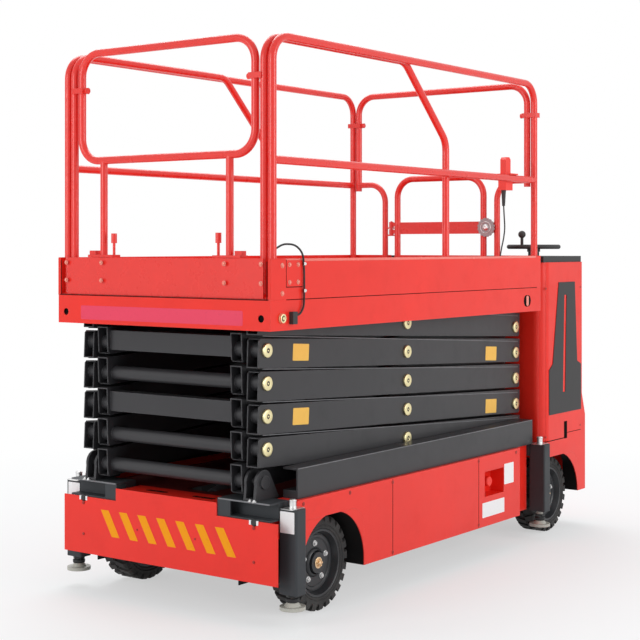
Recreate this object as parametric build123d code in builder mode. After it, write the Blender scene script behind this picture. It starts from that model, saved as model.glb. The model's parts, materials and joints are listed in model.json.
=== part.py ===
"""Self-propelled scissor lift, folded and parked, as separate pieces.

Millimetres, +Z up, origin on the floor under the middle of the machine.
+X points to the console and the steered wheels, -X to the sliding deck.
Joint axes lie along Y for the scissor pack and the wheels.
"""

import os
from math import atan2, cos, hypot, radians, sin, tan

from build123d import *

os.makedirs("parts", exist_ok=True)

# ---- driving dimensions -------------------------------------------------
# chassis
CHASSIS_WIDTH = 1200
CHASSIS_END_X = -1360
SKIRT_END_X = 640
CHASSIS_TOP_Z = 499
SKIRT_BOTTOM_Z = 156
END_PANEL_BOTTOM_Z = 176
PLATE = 5
END_PANEL_TOP_Z = 478
END_PANEL_NOTCH_Y = 480
END_PANEL_NOTCH_DIAMETER = 44
INSET_DECK_DROP = 29
INSET_DECK_HALF = 500
WHEEL_BAY_GAP = 20
ARCH_WALL = 10
TRAY_BOTTOM_Z = 176
TRAY_TOP_Z = 440
SPINE_HALF = 240
SPINE_BOTTOM_Z = 270
SPINE_END_X = 1300
TAIL_BOX_HALF = 545
TAIL_BOX_END_X = 812

# wheels and axles
WHEEL_DIAMETER = 400
WHEEL_WIDTH = 125
WHEEL_OUTER_Y = 545
FRONT_AXLE_X = -995
WHEELBASE = 2065
RIM_DIAMETER = 284
ARCH_HALF = 238
ARCH_TOP_Z = 411
ARCH_RADIUS = 90
KINGPIN_Y = 400
STUB_DIAMETER = 44
AXLE_TUBE = 70
HUB_DEPTH = 85
HUB_GAP = 3
STUB_INSET = 20
SADDLE_Y = 170
SADDLE_HALF = 30
STEER_BEAM_HALF = 40
STEER_BEAM_HEIGHT = 90
PEDESTAL_HALF_X = 60
PEDESTAL_HALF_Y = 120
KINGPIN_DIAMETER = 28
KNUCKLE_DIAMETER = 62
YOKE_GAP = 124
YOKE_PLATE = 16
YOKE_HALF = 34
YOKE_REACH = 60
TYRE_SHOULDER = 12
RIM_LIP = 10
RIM_DISH = 22
RIM_DISC_DEPTH = 34
RIM_DISC = 10
HUB_RADIUS = 48
HUB_CAP_DEPTH = 14
RUNNING_CLEARANCE = 0.05
SEAT_GAP = 0.3

# scissor pack
STAGES = 5
NEAR_PIN_X = -1295
ARM_SPAN = 2080
PITCH = 133
LOW_PIN_RISE = 72
ARM_HEIGHT = 120
ARM_WIDTH = 60
ARM_WALL = 5
PIN_OFFSET = 12
ARM_OVERHANG = 50
ARM_END_CHAMFER = 10
OUTER_ARM_Y = 462
INNER_ARM_Y = 377
PIN_DIAMETER = 30
BOSS_DIAMETER = 64
PIN_HEAD_DIAMETER = 55
PIN_HEAD_THICKNESS = 10
COLLAR_DIAMETER = 46
CROSS_TUBE_DIAMETER = 60
CROSS_BOX_HEIGHT = 85
ROLLER_DIAMETER = 76
ROLLER_WIDTH = 36
ROLLER_Y = 533

# base rails
RAIL_START_X = -1202
RAIL_OUTER_Y = 580
RAIL_INNER_Y = 505
RAIL_HEIGHT = 125
RAIL_WALL = 8
LUG_RADIUS = 50
LUG_PLATE = 12
LUG_INSET = 15
LUG_FOOT_BACK = 55
LUG_FOOT_FRONT = 100
LUG_FOOT_PLATE = 10
LUG_SHOULDER_X = 46
LUG_SHOULDER_Z = 19

# stabilisers
LEG_WIDTH = 90
LEG_DEPTH = 65
LEG_OUTER_Y = 649
NEAR_LEG_X = -1300
FAR_LEG_X = 815
LEG_GAP = 3
LEG_CORNER = 8
BEAM_BAY_Y = 285
BEAM_PLATE_WIDTH = 68
NEAR_BEAM_HEIGHT = 74
BEAM_FLANGE = 7
FAR_BEAM_HEIGHT = 62
FOOT_DIAMETER = 105
FOOT_BOTTOM_Z = 72
FOOT_PAD = 14
FOOT_CONE_HEIGHT = 24
FOOT_CONE_DIAMETER = 68
FOOT_ROD_DIAMETER = 34
FOOT_ROD_GAP = 0.5
FOOT_ROD_SHORT = 40

# platform
PLATFORM_NEAR_X = -1400
PLATFORM_FAR_X = 875
PLATFORM_HALF = 595
BEAM_BELOW_PIN = 49
BEAM_HEIGHT = 122
BEAM_WALL = 8
TIE_HOLE_DIAMETER = 30
PIN_COVER = 3
KEEPER_BOLT_X = -1327
KEEPER_BOLT_DIAMETER = 42
TIE_HOLE_Y = 548
DECK_PLATE = 5
TOE_HEIGHT = 160
TOE_PLATE = 4
RAIL_TUBE = 34
NEAR_POST_X = -1360
FAR_POST_X = 843
GUARD_HEIGHT = 1066
MID_RAIL_HEIGHT = 553
BEND_RADIUS = 100
SLIDE_SIDE_GAP = 6
SLIDE_SHOE_X = 25
SLIDE_DECK_THICKNESS = 18
SLIDE_DECK_REACH = 40
SLIDE_DECK_NEAR = 30
SLIDE_RAIL_SLOPE = 360
SLIDE_RAIL_KNEE_Z = 2020
LOOP_HALF = 505
LOOP_LEG_Y = 355
LOOP_BOTTOM_Z = 1895
LOOP_FOOT = (50, 146, 10)
LOOP_FOOT_LIFT = 2
LOOP_BLOCK = (30, 36, 18)
LOCK_PIN_DIAMETER = 12
LOCK_KNOB_DIAMETER = 25
LOCK_KNOB_HEIGHT = 42
LOCK_PIN_HEIGHT = 92
CLAMP_Z = 2204
CLAMP_HALF_X = 22
CLAMP_HEIGHT = 24
CLAMP_WALL = 4
CLAMP_KNOB_DIAMETER = 26
CLAMP_KNOB_REACH = 20
GATE_HALF = 290
GATE_TOP_Z = 1893
GATE_BOTTOM_Z = 1352
GATE_BAND_Z = 1590
GATE_BAND_HEIGHT = 65
GATE_BAND_HALF = 6
GATE_PANEL_HALF = 4
HINGE_SIDE = 1
HINGE_PIN = 12
HINGE_BARREL = 26
HINGE_HEIGHTS = (1588, 1628)
HINGE_LUG_HALF = 12
HINGE_LUG_DROP = 8
HINGE_PIN_RISE = 34
HINGE_LEAF_HALF = 5
LATCH_TONGUE = 28
LATCH_GAP = 7
KEEPER_MARGIN = 5
LATCH_DISC_DIAMETER = 100
LATCH_DISC_THICKNESS = 10
LATCH_DISC_GAP = 6
LATCH_FLUTES = 16
LATCH_FLUTE_RADIUS = 5

# control box on the rail, its cable, and the limit switch with its lead
CONTROL_X = 608
CONTROL_HOUSING = (71, 44, 84)
CONTROL_FLANGE = (78, 48, 7)
CONTROL_GRIP = (50, 32, 84)
CONTROL_GRIP_CHAMFER = 12
CONTROL_HOOK = 12
GLAND_X = 589
GLAND_LENGTH = 80
GLAND_TOP_DIAMETER = 24
GLAND_END_DIAMETER = 15
CONTROL_CABLE_DIAMETER = 7
SOCKET_SIZE = (36, 50, 37)
SOCKET_GLAND_HEIGHT = 15
SWITCH_X = -1263
SWITCH_SIZE = (29, 20, 50)
SWITCH_LEAD_DIAMETER = 8
SWITCH_LEAD_X = -1190
SWITCH_LEAD_OFF = 8.5
SWITCH_LEAD_END_GAP = 2

# recess for the lowering controls in the right skirt
RECESS_X = (281, 471)
RECESS_Z = (300, 422)
RECESS_DEPTH = 75
RECESS_WALL = 3
RECESS_KNOB_X = 316
RECESS_KNOB_Z = 362

# console
CONSOLE_NEAR_X = 910
CONSOLE_FAR_X = 1360
CONSOLE_TAIL_X = 1400
CONSOLE_TOP_Z = 1438
CONSOLE_COVER = 32
CONSOLE_INSET = 5
CONSOLE_WALL = 6
STEER_HUB_X = 1140
STEER_HUB_Y = -415
STEER_RIM_Z = 1520
STEER_RIM_DIAMETER = 290
STEER_HUB_DROP = 27
STEER_RIM_TUBE = 24
STEER_HUB_DIAMETER = 70
STEER_COLUMN_DIAMETER = 60
STEER_SPOKE = (26, 10)
STEER_SPOKE_DROP = 4
STEER_KNOB_REACH = 133
STEER_KNOB_HEIGHT = 60
STEER_KNOB_STEM = 16
STEER_KNOB_DIAMETER = 40
CONSOLE_CORNER = 60
CONSOLE_BOTTOM_Z = 190
CONSOLE_KNEE_Z = 720
CONSOLE_SKIRT_Z = 600
TRIM_THICKNESS = 3
TRIM_TOP_Z = 1331
TRIM_TOP_X = (1079, 1269)
TRIM_WAIST_Z = 900
TRIM_WAIST_X = (1010, 1298)
TRIM_SHOULDER_Z = (868, 880)
TRIM_FOOT_Z = 632
TRIM_FOOT_X = (968, 1345)
TRIM_SLOT_Z = (742, 1262)
TRIM_SLOT_LOW_X = (1126, 1154)
TRIM_SLOT_TOP_X = (1143, 1171)

# lift cylinder
CYLINDER_BASE_X = 200
CYLINDER_BASE_Z = -170
CYLINDER_EYE_REACH = 1000
BARREL_DIAMETER = 90
ROD_DIAMETER = 50
BARREL_LENGTH = 640
BARREL_START = 35
RAM_BORE_START = 90
RAM_ROD_START = 100
RAM_EYE_HALF = 44
RAM_EYE_DIAMETER = 76
ROD_EYE_DIAMETER = 64
FOOT_PIN_DIAMETER = 40
EAR_GAP = 6
EAR_PLATE = 12
EAR_HALF = 35
FOOT_BEAM_HALF = 50
FOOT_BEAM_HEIGHT = 25
FOOT_BEAM_TOP_Z = 345
SLOT_HALF = 75
SLOT_LENGTH = 850
SLOT_BEHIND_FOOT = 55
ROD_BAR_START = 90
ROD_BAR_LENGTH = 70

# ---- sizes worked out from them -----------------------------------------
wheel_radius = WHEEL_DIAMETER / 2
steer_axle_x = FRONT_AXLE_X + WHEELBASE
inner_wall_y = WHEEL_OUTER_Y - WHEEL_WIDTH - WHEEL_BAY_GAP
far_pin_x = NEAR_PIN_X + ARM_SPAN
centre_pin_x = NEAR_PIN_X + ARM_SPAN / 2
low_pin_z = CHASSIS_TOP_Z + LOW_PIN_RISE
top_pin_z = low_pin_z + STAGES * PITCH
rail_top_z = CHASSIS_TOP_Z + RAIL_HEIGHT
beam_bottom_z = top_pin_z - BEAM_BELOW_PIN
beam_top_z = beam_bottom_z + BEAM_HEIGHT
outer_inner_face = OUTER_ARM_Y - ARM_WIDTH / 2
outer_outer_face = OUTER_ARM_Y + ARM_WIDTH / 2
inner_inner_face = INNER_ARM_Y - ARM_WIDTH / 2
inner_outer_face = INNER_ARM_Y + ARM_WIDTH / 2
inset_deck_z = CHASSIS_TOP_Z - INSET_DECK_DROP
ceiling_z = inset_deck_z - PLATE
deck_top_z = beam_top_z + DECK_PLATE
toe_top_z = deck_top_z + TOE_HEIGHT
slide_deck_z = deck_top_z + SEAT_GAP
slide_deck_top_z = slide_deck_z + SLIDE_DECK_THICKNESS
top_rail_z = deck_top_z + GUARD_HEIGHT - RAIL_TUBE / 2
mid_rail_z = deck_top_z + MID_RAIL_HEIGHT
toe_face_y = PLATFORM_HALF - TOE_PLATE
platform_pin_y = PLATFORM_HALF - PIN_COVER
post_y = toe_face_y - RAIL_TUBE / 2 - SEAT_GAP
slide_post_y = post_y - RAIL_TUBE - SLIDE_SIDE_GAP
hinge_y = (GATE_HALF + LOOP_LEG_Y - RAIL_TUBE / 2) / 2
chassis_half = CHASSIS_WIDTH / 2
console_half = chassis_half - CONSOLE_INSET
near_beam_low_z = CHASSIS_TOP_Z - NEAR_BEAM_HEIGHT
leg_far_x = NEAR_LEG_X + LEG_DEPTH
cylinder_foot_x = NEAR_PIN_X + CYLINDER_BASE_X
cylinder_foot_z = low_pin_z + CYLINDER_BASE_Z
arm_slope = atan2(PITCH, ARM_SPAN)
rod_eye_x = NEAR_PIN_X + CYLINDER_EYE_REACH * cos(arm_slope)
rod_eye_z = low_pin_z + CYLINDER_EYE_REACH * sin(arm_slope)
SIDES = {"left": 1, "right": -1}


def save(part, name):
    """Label a finished part and write its STEP file."""
    part.label = name
    export_step(part, f"parts/{name}.step")


def box_between(low, high, mode=Mode.ADD):
    """Box from its low corner to its high corner, inside the open part."""
    centre = [(a + b) / 2 for a, b in zip(low, high)]
    size = [b - a for a, b in zip(low, high)]
    with Locations(tuple(centre)):
        Box(*size, mode=mode)


def rod_along_y(x, z, y_from, y_to, diameter, mode=Mode.ADD):
    """Round bar or hole along Y between two Y values, inside the open part."""
    length = abs(y_to - y_from)
    with Locations(Location((x, (y_from + y_to) / 2, z), (90, 0, 0))):
        Cylinder(diameter / 2, length, mode=mode)


def rod_along_z(x, y, z_from, z_to, diameter, mode=Mode.ADD):
    """Round upright bar or hole between two heights, inside the open part."""
    with Locations((x, y, (z_from + z_to) / 2)):
        Cylinder(diameter / 2, z_to - z_from, mode=mode)


def bent_tube(plane, points, radii, diameter=RAIL_TUBE):
    """Bent round tube along a filleted path drawn on a plane, in the open part."""
    with BuildLine(plane) as path:
        if radii:
            FilletPolyline(*points, radius=radii)
        else:
            Polyline(*points)
    with BuildSketch(Plane(origin=path.line @ 0, z_dir=path.line % 0)) as ring:
        Circle(diameter / 2)
    sweep(ring.sketch, path=path.line)


# ---- chassis ------------------------------------------------------------
def wheel_arch(x, y_from, y_to):
    """Cut a round-cornered wheel arch through a side, inside the open part."""
    with BuildSketch(Plane.XZ.offset(-max(y_from, y_to))) as arch:
        with Locations((x, 0)):
            Rectangle(2 * ARCH_HALF, 2 * ARCH_TOP_Z)
        fillet(arch.vertices().group_by(Axis.Y)[-1], ARCH_RADIUS)
    extrude(arch.sketch, amount=abs(y_to - y_from), mode=Mode.SUBTRACT)


def near_beam_bay(side):
    """Clear the room of one near stabiliser beam, inside the open part."""
    bay_y = sorted((side * (BEAM_BAY_Y - SEAT_GAP), side * (chassis_half + PLATE)))
    box_between(
        (CHASSIS_END_X - PLATE, bay_y[0], near_beam_low_z - SEAT_GAP),
        (leg_far_x + LEG_GAP, bay_y[1], CHASSIS_TOP_Z + PLATE),
        Mode.SUBTRACT,
    )


frame_near_x = CHASSIS_END_X + PLATE
tail_wall_x = TAIL_BOX_END_X - PLATE
spine_wall_y = SPINE_HALF - PLATE
with BuildPart() as chassis_deck:
    # sunken deck, wide over the wheels and narrow over the spine
    box_between(
        (frame_near_x, -INSET_DECK_HALF, ceiling_z), (TAIL_BOX_END_X, INSET_DECK_HALF, inset_deck_z)
    )
    box_between((TAIL_BOX_END_X, -SPINE_HALF, ceiling_z), (SPINE_END_X, SPINE_HALF, inset_deck_z))
    for side in SIDES.values():
        near_beam_bay(side)
    # slot for the lift cylinder
    box_between(
        (cylinder_foot_x - SLOT_BEHIND_FOOT, -SLOT_HALF, ceiling_z - PLATE),
        (cylinder_foot_x - SLOT_BEHIND_FOOT + SLOT_LENGTH, SLOT_HALF, inset_deck_z + PLATE),
        Mode.SUBTRACT,
    )
save(chassis_deck.part, "chassis_deck")

with BuildPart() as bay_walls:
    for side in SIDES.values():
        wall_y = sorted((side * (inner_wall_y - PLATE), side * inner_wall_y))
        box_between((frame_near_x, wall_y[0], SKIRT_BOTTOM_Z), (tail_wall_x, wall_y[1], ceiling_z))
        near_beam_bay(side)
        # bore for the front axle tube
        rod_along_y(
            FRONT_AXLE_X,
            wheel_radius,
            side * (inner_wall_y - 2 * PLATE),
            side * (inner_wall_y + PLATE),
            AXLE_TUBE + 2 * SEAT_GAP,
            Mode.SUBTRACT,
        )
save(bay_walls.part, "bay_walls")

with BuildPart() as tail_boxes:
    for side in SIDES.values():
        tail_y = sorted((side * inner_wall_y, side * TAIL_BOX_HALF))
        box_between((SKIRT_END_X, tail_y[0], SKIRT_BOTTOM_Z), (TAIL_BOX_END_X, tail_y[1], ceiling_z))
        rim_y = sorted((side * INSET_DECK_HALF, side * TAIL_BOX_HALF))
        box_between((SKIRT_END_X, rim_y[0], ceiling_z), (TAIL_BOX_END_X, rim_y[1], CHASSIS_TOP_Z))
        end_y = sorted((side * SPINE_HALF, side * inner_wall_y))
        box_between((tail_wall_x, end_y[0], SKIRT_BOTTOM_Z), (TAIL_BOX_END_X, end_y[1], ceiling_z))
save(tail_boxes.part, "tail_boxes")

with BuildPart() as spine_walls:
    for side in SIDES.values():
        spine_y = sorted((side * spine_wall_y, side * SPINE_HALF))
        box_between((tail_wall_x, spine_y[0], SPINE_BOTTOM_Z), (SPINE_END_X, spine_y[1], ceiling_z))
    box_between(
        (tail_wall_x, -SPINE_HALF, SKIRT_BOTTOM_Z), (TAIL_BOX_END_X, SPINE_HALF, SPINE_BOTTOM_Z)
    )
    box_between(
        (SPINE_END_X - PLATE, -SPINE_HALF, SPINE_BOTTOM_Z), (SPINE_END_X, SPINE_HALF, ceiling_z)
    )
save(spine_walls.part, "spine_walls")

# cross member, ears and pin for the cylinder's foot
with BuildPart() as cylinder_mount:
    box_between(
        (cylinder_foot_x - FOOT_BEAM_HALF, -inner_wall_y + PLATE, FOOT_BEAM_TOP_Z - FOOT_BEAM_HEIGHT),
        (cylinder_foot_x + FOOT_BEAM_HALF, inner_wall_y - PLATE, FOOT_BEAM_TOP_Z),
    )
    ear_outer = RAM_EYE_HALF + EAR_GAP + EAR_PLATE
    for side in SIDES.values():
        ear_y = sorted((side * (RAM_EYE_HALF + EAR_GAP), side * ear_outer))
        box_between(
            (cylinder_foot_x - EAR_HALF, ear_y[0], FOOT_BEAM_TOP_Z),
            (cylinder_foot_x + EAR_HALF, ear_y[1], cylinder_foot_z + EAR_HALF),
        )
    rod_along_y(cylinder_foot_x, cylinder_foot_z, -ear_outer, ear_outer, FOOT_PIN_DIAMETER)
save(cylinder_mount.part, "cylinder_mount")

with BuildPart() as end_panel:
    box_between(
        (CHASSIS_END_X, -chassis_half, END_PANEL_BOTTOM_Z), (frame_near_x, chassis_half, END_PANEL_TOP_Z)
    )
    for side in SIDES.values():
        near_beam_bay(side)
        with BuildSketch(Plane.YZ.offset(CHASSIS_END_X)) as notch:
            with Locations((side * END_PANEL_NOTCH_Y, near_beam_low_z)):
                Circle(END_PANEL_NOTCH_DIAMETER / 2)
        extrude(notch.sketch, amount=PLATE, mode=Mode.SUBTRACT)
save(end_panel.part, "end_panel")

def control_recess(wall, mode):
    """Room of the control recess, grown by a wall, inside the open part."""
    box_between(
        (RECESS_X[0] - wall, -chassis_half, RECESS_Z[0] - wall),
        (RECESS_X[1] + wall, -chassis_half + RECESS_DEPTH + wall, RECESS_Z[1] + wall),
        mode,
    )


with BuildPart() as skirts:
    for side in SIDES.values():
        plate_y = sorted((side * (chassis_half - PLATE), side * chassis_half))
        box_between(
            (leg_far_x + LEG_GAP, plate_y[0], SKIRT_BOTTOM_Z),
            (SKIRT_END_X, plate_y[1], CHASSIS_TOP_Z),
        )
        strip_y = sorted((side * INSET_DECK_HALF, side * chassis_half))
        box_between(
            (leg_far_x + LEG_GAP, strip_y[0], CHASSIS_TOP_Z - PLATE),
            (SKIRT_END_X, strip_y[1], CHASSIS_TOP_Z),
        )
        riser_y = sorted((side * INSET_DECK_HALF, side * (INSET_DECK_HALF + PLATE)))
        box_between((leg_far_x + LEG_GAP, riser_y[0], ceiling_z), (SKIRT_END_X, riser_y[1], CHASSIS_TOP_Z))
        bay_y = sorted((side * (inner_wall_y + SEAT_GAP), side * chassis_half))
        box_between((SKIRT_END_X - PLATE, bay_y[0], SKIRT_BOTTOM_Z), (SKIRT_END_X, bay_y[1], ceiling_z))
        # wheel box, open towards the wheel through a round-cornered arch
        box_between(
            (leg_far_x + LEG_GAP, bay_y[0], SKIRT_BOTTOM_Z),
            (FRONT_AXLE_X + ARCH_HALF + ARCH_WALL, bay_y[1], ceiling_z),
        )
        wheel_arch(FRONT_AXLE_X, side * (inner_wall_y - PLATE), side * (chassis_half + PLATE))
    # lined recess with the emergency lowering knob
    control_recess(RECESS_WALL, Mode.ADD)
    control_recess(0, Mode.SUBTRACT)
    knob_back_y = -chassis_half + RECESS_DEPTH + 1
    rod_along_y(RECESS_KNOB_X, RECESS_KNOB_Z, knob_back_y, knob_back_y - 26, 22)
    rod_along_y(RECESS_KNOB_X, RECESS_KNOB_Z, knob_back_y - 25, knob_back_y - 45, 42)
save(skirts.part, "skirts")

# trays behind the skirts: batteries on one side, pump and valves on the other
TRAYS = {"battery_pack": 1, "hydraulic_pack": -1}
for tray_name, side in TRAYS.items():
    with BuildPart() as tray:
        tray_y = sorted((side * (inner_wall_y + SEAT_GAP), side * (chassis_half - PLATE - SEAT_GAP)))
        box_between(
            (FRONT_AXLE_X + ARCH_HALF + ARCH_WALL + SEAT_GAP, tray_y[0], TRAY_BOTTOM_Z),
            (SKIRT_END_X - PLATE - SEAT_GAP, tray_y[1], TRAY_TOP_Z),
        )
        if tray_name == "hydraulic_pack":
            control_recess(RECESS_WALL + SEAT_GAP, Mode.SUBTRACT)
    save(tray.part, tray_name)

with BuildPart() as base_rails:
    lower_flange_top = low_pin_z - ROLLER_DIAMETER / 2 - SEAT_GAP
    for side in SIDES.values():
        web_y = sorted((side * RAIL_OUTER_Y, side * (RAIL_OUTER_Y - RAIL_WALL)))
        flange_y = sorted((side * RAIL_OUTER_Y, side * RAIL_INNER_Y))
        box_between((RAIL_START_X, web_y[0], CHASSIS_TOP_Z), (TAIL_BOX_END_X, web_y[1], rail_top_z))
        box_between(
            (RAIL_START_X, flange_y[0], CHASSIS_TOP_Z),
            (TAIL_BOX_END_X, flange_y[1], lower_flange_top),
        )
        box_between(
            (RAIL_START_X, flange_y[0], rail_top_z - RAIL_WALL), (TAIL_BOX_END_X, flange_y[1], rail_top_z)
        )
save(base_rails.part, "base_rails")

lug_inner_y = outer_inner_face - LUG_INSET
with BuildPart() as pivot_lugs:
    for side in SIDES.values():
        for face_y in (lug_inner_y, outer_outer_face - 2 * LUG_PLATE):
            near_y = max(side * face_y, side * (face_y + LUG_PLATE))
            with BuildSketch(Plane.XZ.offset(-near_y)) as lug:
                with BuildLine():
                    Polyline(
                        (NEAR_PIN_X - LUG_FOOT_BACK, CHASSIS_TOP_Z),
                        (NEAR_PIN_X + LUG_FOOT_FRONT, CHASSIS_TOP_Z),
                        (NEAR_PIN_X + LUG_SHOULDER_X, low_pin_z + LUG_SHOULDER_Z),
                        (NEAR_PIN_X - LUG_SHOULDER_X, low_pin_z + LUG_SHOULDER_Z),
                        (NEAR_PIN_X - LUG_FOOT_BACK, CHASSIS_TOP_Z),
                    )
                make_face()
                with Locations((NEAR_PIN_X, low_pin_z)):
                    Circle(LUG_RADIUS)
            extrude(amount=LUG_PLATE)
        foot_y = sorted((side * lug_inner_y, side * (outer_outer_face - LUG_PLATE)))
        box_between(
            (NEAR_PIN_X - LUG_FOOT_BACK, foot_y[0], CHASSIS_TOP_Z),
            (NEAR_PIN_X + LUG_FOOT_FRONT, foot_y[1], CHASSIS_TOP_Z + LUG_FOOT_PLATE),
        )
        rod_along_y(
            NEAR_PIN_X,
            low_pin_z,
            side * (inner_inner_face + 4),
            side * (outer_outer_face - LUG_PLATE),
            PIN_DIAMETER,
        )
        head_from = outer_outer_face - LUG_PLATE
        rod_along_y(
            NEAR_PIN_X,
            low_pin_z,
            side * head_from,
            side * (head_from + PIN_HEAD_THICKNESS),
            PIN_HEAD_DIAMETER,
        )
save(pivot_lugs.part, "pivot_lugs")

# legs by place: leg x, bottom z, top z
LEGS = {
    "near": (NEAR_LEG_X, 134, 475),
    "far": (FAR_LEG_X, 150, 497),
}
leg_mid_y = LEG_OUTER_Y - LEG_WIDTH / 2
leg_inner_y = LEG_OUTER_Y - LEG_WIDTH
beam_near_x = CHASSIS_END_X + PLATE
with BuildPart() as stabiliser_legs:
    for x, low_z, high_z in LEGS.values():
        for side in SIDES.values():
            with BuildSketch(Plane.XY.offset(low_z)) as leg:
                with Locations((x + LEG_DEPTH / 2, side * leg_mid_y)):
                    RectangleRounded(LEG_DEPTH, LEG_WIDTH, LEG_CORNER)
            extrude(leg.sketch, amount=high_z - low_z)
    for side in SIDES.values():
        # near cross-beams: channels open to the end, with a plate over their inner end
        beam_y = sorted((side * (leg_inner_y + 1), side * BEAM_BAY_Y))
        box_between((beam_near_x, beam_y[0], near_beam_low_z), (leg_far_x, beam_y[1], CHASSIS_TOP_Z))
        box_between(
            (beam_near_x - PLATE, beam_y[0] - PLATE, near_beam_low_z + BEAM_FLANGE),
            (NEAR_LEG_X, beam_y[1] + PLATE, CHASSIS_TOP_Z - BEAM_FLANGE),
            Mode.SUBTRACT,
        )
        plate_y = sorted((side * BEAM_BAY_Y, side * (BEAM_BAY_Y + BEAM_PLATE_WIDTH)))
        box_between(
            (beam_near_x, plate_y[0], near_beam_low_z),
            (beam_near_x + BEAM_FLANGE, plate_y[1], CHASSIS_TOP_Z),
        )
        # far cross-beams, against the tail box
        far_low_z = LEGS["far"][2] - FAR_BEAM_HEIGHT
        box_between(
            (TAIL_BOX_END_X + SEAT_GAP, beam_y[0], far_low_z),
            (FAR_LEG_X + LEG_DEPTH, beam_y[1], LEGS["far"][2]),
        )
        # bores for the feet
        for x, low_z, high_z in LEGS.values():
            rod_along_z(
                x + LEG_DEPTH / 2,
                side * leg_mid_y,
                low_z - 1,
                high_z - FOOT_ROD_SHORT / 2,
                FOOT_ROD_DIAMETER + 2 * FOOT_ROD_GAP,
                Mode.SUBTRACT,
            )
save(stabiliser_legs.part, "stabiliser_legs")

for place, (x, low_z, high_z) in LEGS.items():
    for side_name, side in SIDES.items():
        foot_x = x + LEG_DEPTH / 2
        foot_y = side * leg_mid_y
        with BuildPart() as foot:
            rod_along_z(foot_x, foot_y, FOOT_BOTTOM_Z, FOOT_BOTTOM_Z + FOOT_PAD, FOOT_DIAMETER)
            with Locations((foot_x, foot_y, FOOT_BOTTOM_Z + FOOT_PAD + FOOT_CONE_HEIGHT / 2)):
                Cone(FOOT_CONE_DIAMETER / 2, FOOT_ROD_DIAMETER / 2, FOOT_CONE_HEIGHT)
            rod_along_z(
                foot_x,
                foot_y,
                FOOT_BOTTOM_Z + FOOT_PAD / 2,
                high_z - FOOT_ROD_SHORT,
                FOOT_ROD_DIAMETER,
            )
        save(foot.part, f"foot_{place}_{side_name}")

# ---- axles, knuckles and wheels -----------------------------------------
hub_inner_y = WHEEL_OUTER_Y - HUB_DEPTH
stub_end_y = WHEEL_OUTER_Y - STUB_INSET
with BuildPart() as front_axle:
    axle_end_y = hub_inner_y - HUB_GAP
    rod_along_y(FRONT_AXLE_X, wheel_radius, -axle_end_y, axle_end_y, AXLE_TUBE)
    rod_along_y(FRONT_AXLE_X, wheel_radius, -stub_end_y, stub_end_y, STUB_DIAMETER)
    for side in SIDES.values():
        box_between(
            (FRONT_AXLE_X - SADDLE_HALF, side * SADDLE_Y - SADDLE_HALF, wheel_radius),
            (FRONT_AXLE_X + SADDLE_HALF, side * SADDLE_Y + SADDLE_HALF, ceiling_z),
        )
save(front_axle.part, "front_axle")

yoke_half = YOKE_GAP / 2
with BuildPart() as steer_axle:
    beam_end_y = KINGPIN_Y - YOKE_REACH + YOKE_PLATE
    box_between(
        (steer_axle_x - STEER_BEAM_HALF, -beam_end_y, wheel_radius - STEER_BEAM_HEIGHT / 2),
        (steer_axle_x + STEER_BEAM_HALF, beam_end_y, wheel_radius + STEER_BEAM_HEIGHT / 2),
    )
    box_between(
        (steer_axle_x - PEDESTAL_HALF_X, -PEDESTAL_HALF_Y, wheel_radius + STEER_BEAM_HALF),
        (steer_axle_x + PEDESTAL_HALF_X, PEDESTAL_HALF_Y, ceiling_z - SEAT_GAP),
    )
    for side in SIDES.values():
        plate_y = sorted((side * (KINGPIN_Y - YOKE_REACH), side * KINGPIN_Y))
        for low_z in (wheel_radius - yoke_half - YOKE_PLATE, wheel_radius + yoke_half):
            box_between(
                (steer_axle_x - YOKE_HALF, plate_y[0], low_z),
                (steer_axle_x + YOKE_HALF, plate_y[1], low_z + YOKE_PLATE),
            )
            rod_along_z(steer_axle_x, side * KINGPIN_Y, low_z, low_z + YOKE_PLATE, 2 * YOKE_HALF)
        cheek_y = sorted((side * (KINGPIN_Y - YOKE_REACH), side * beam_end_y))
        box_between(
            (steer_axle_x - YOKE_HALF, cheek_y[0], wheel_radius - yoke_half - YOKE_PLATE),
            (steer_axle_x + YOKE_HALF, cheek_y[1], wheel_radius + yoke_half + YOKE_PLATE),
        )
        rod_along_z(
            steer_axle_x,
            side * KINGPIN_Y,
            wheel_radius - yoke_half,
            wheel_radius + yoke_half,
            KINGPIN_DIAMETER,
        )
save(steer_axle.part, "steer_axle")

for side_name, side in SIDES.items():
    with BuildPart() as knuckle:
        barrel_half = yoke_half - 1
        arm_start_y = side * (KINGPIN_Y + KINGPIN_DIAMETER / 2 + 6)
        rod_along_z(
            steer_axle_x,
            side * KINGPIN_Y,
            wheel_radius - barrel_half,
            wheel_radius + barrel_half,
            KNUCKLE_DIAMETER,
        )
        rod_along_y(steer_axle_x, wheel_radius, arm_start_y, side * (hub_inner_y - HUB_GAP), AXLE_TUBE)
        rod_along_y(steer_axle_x, wheel_radius, arm_start_y, side * stub_end_y, STUB_DIAMETER)
        rod_along_z(
            steer_axle_x,
            side * KINGPIN_Y,
            0,
            WHEEL_DIAMETER,
            KINGPIN_DIAMETER + 2 * RUNNING_CLEARANCE,
            Mode.SUBTRACT,
        )
    save(knuckle.part, f"knuckle_{side_name}")

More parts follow.
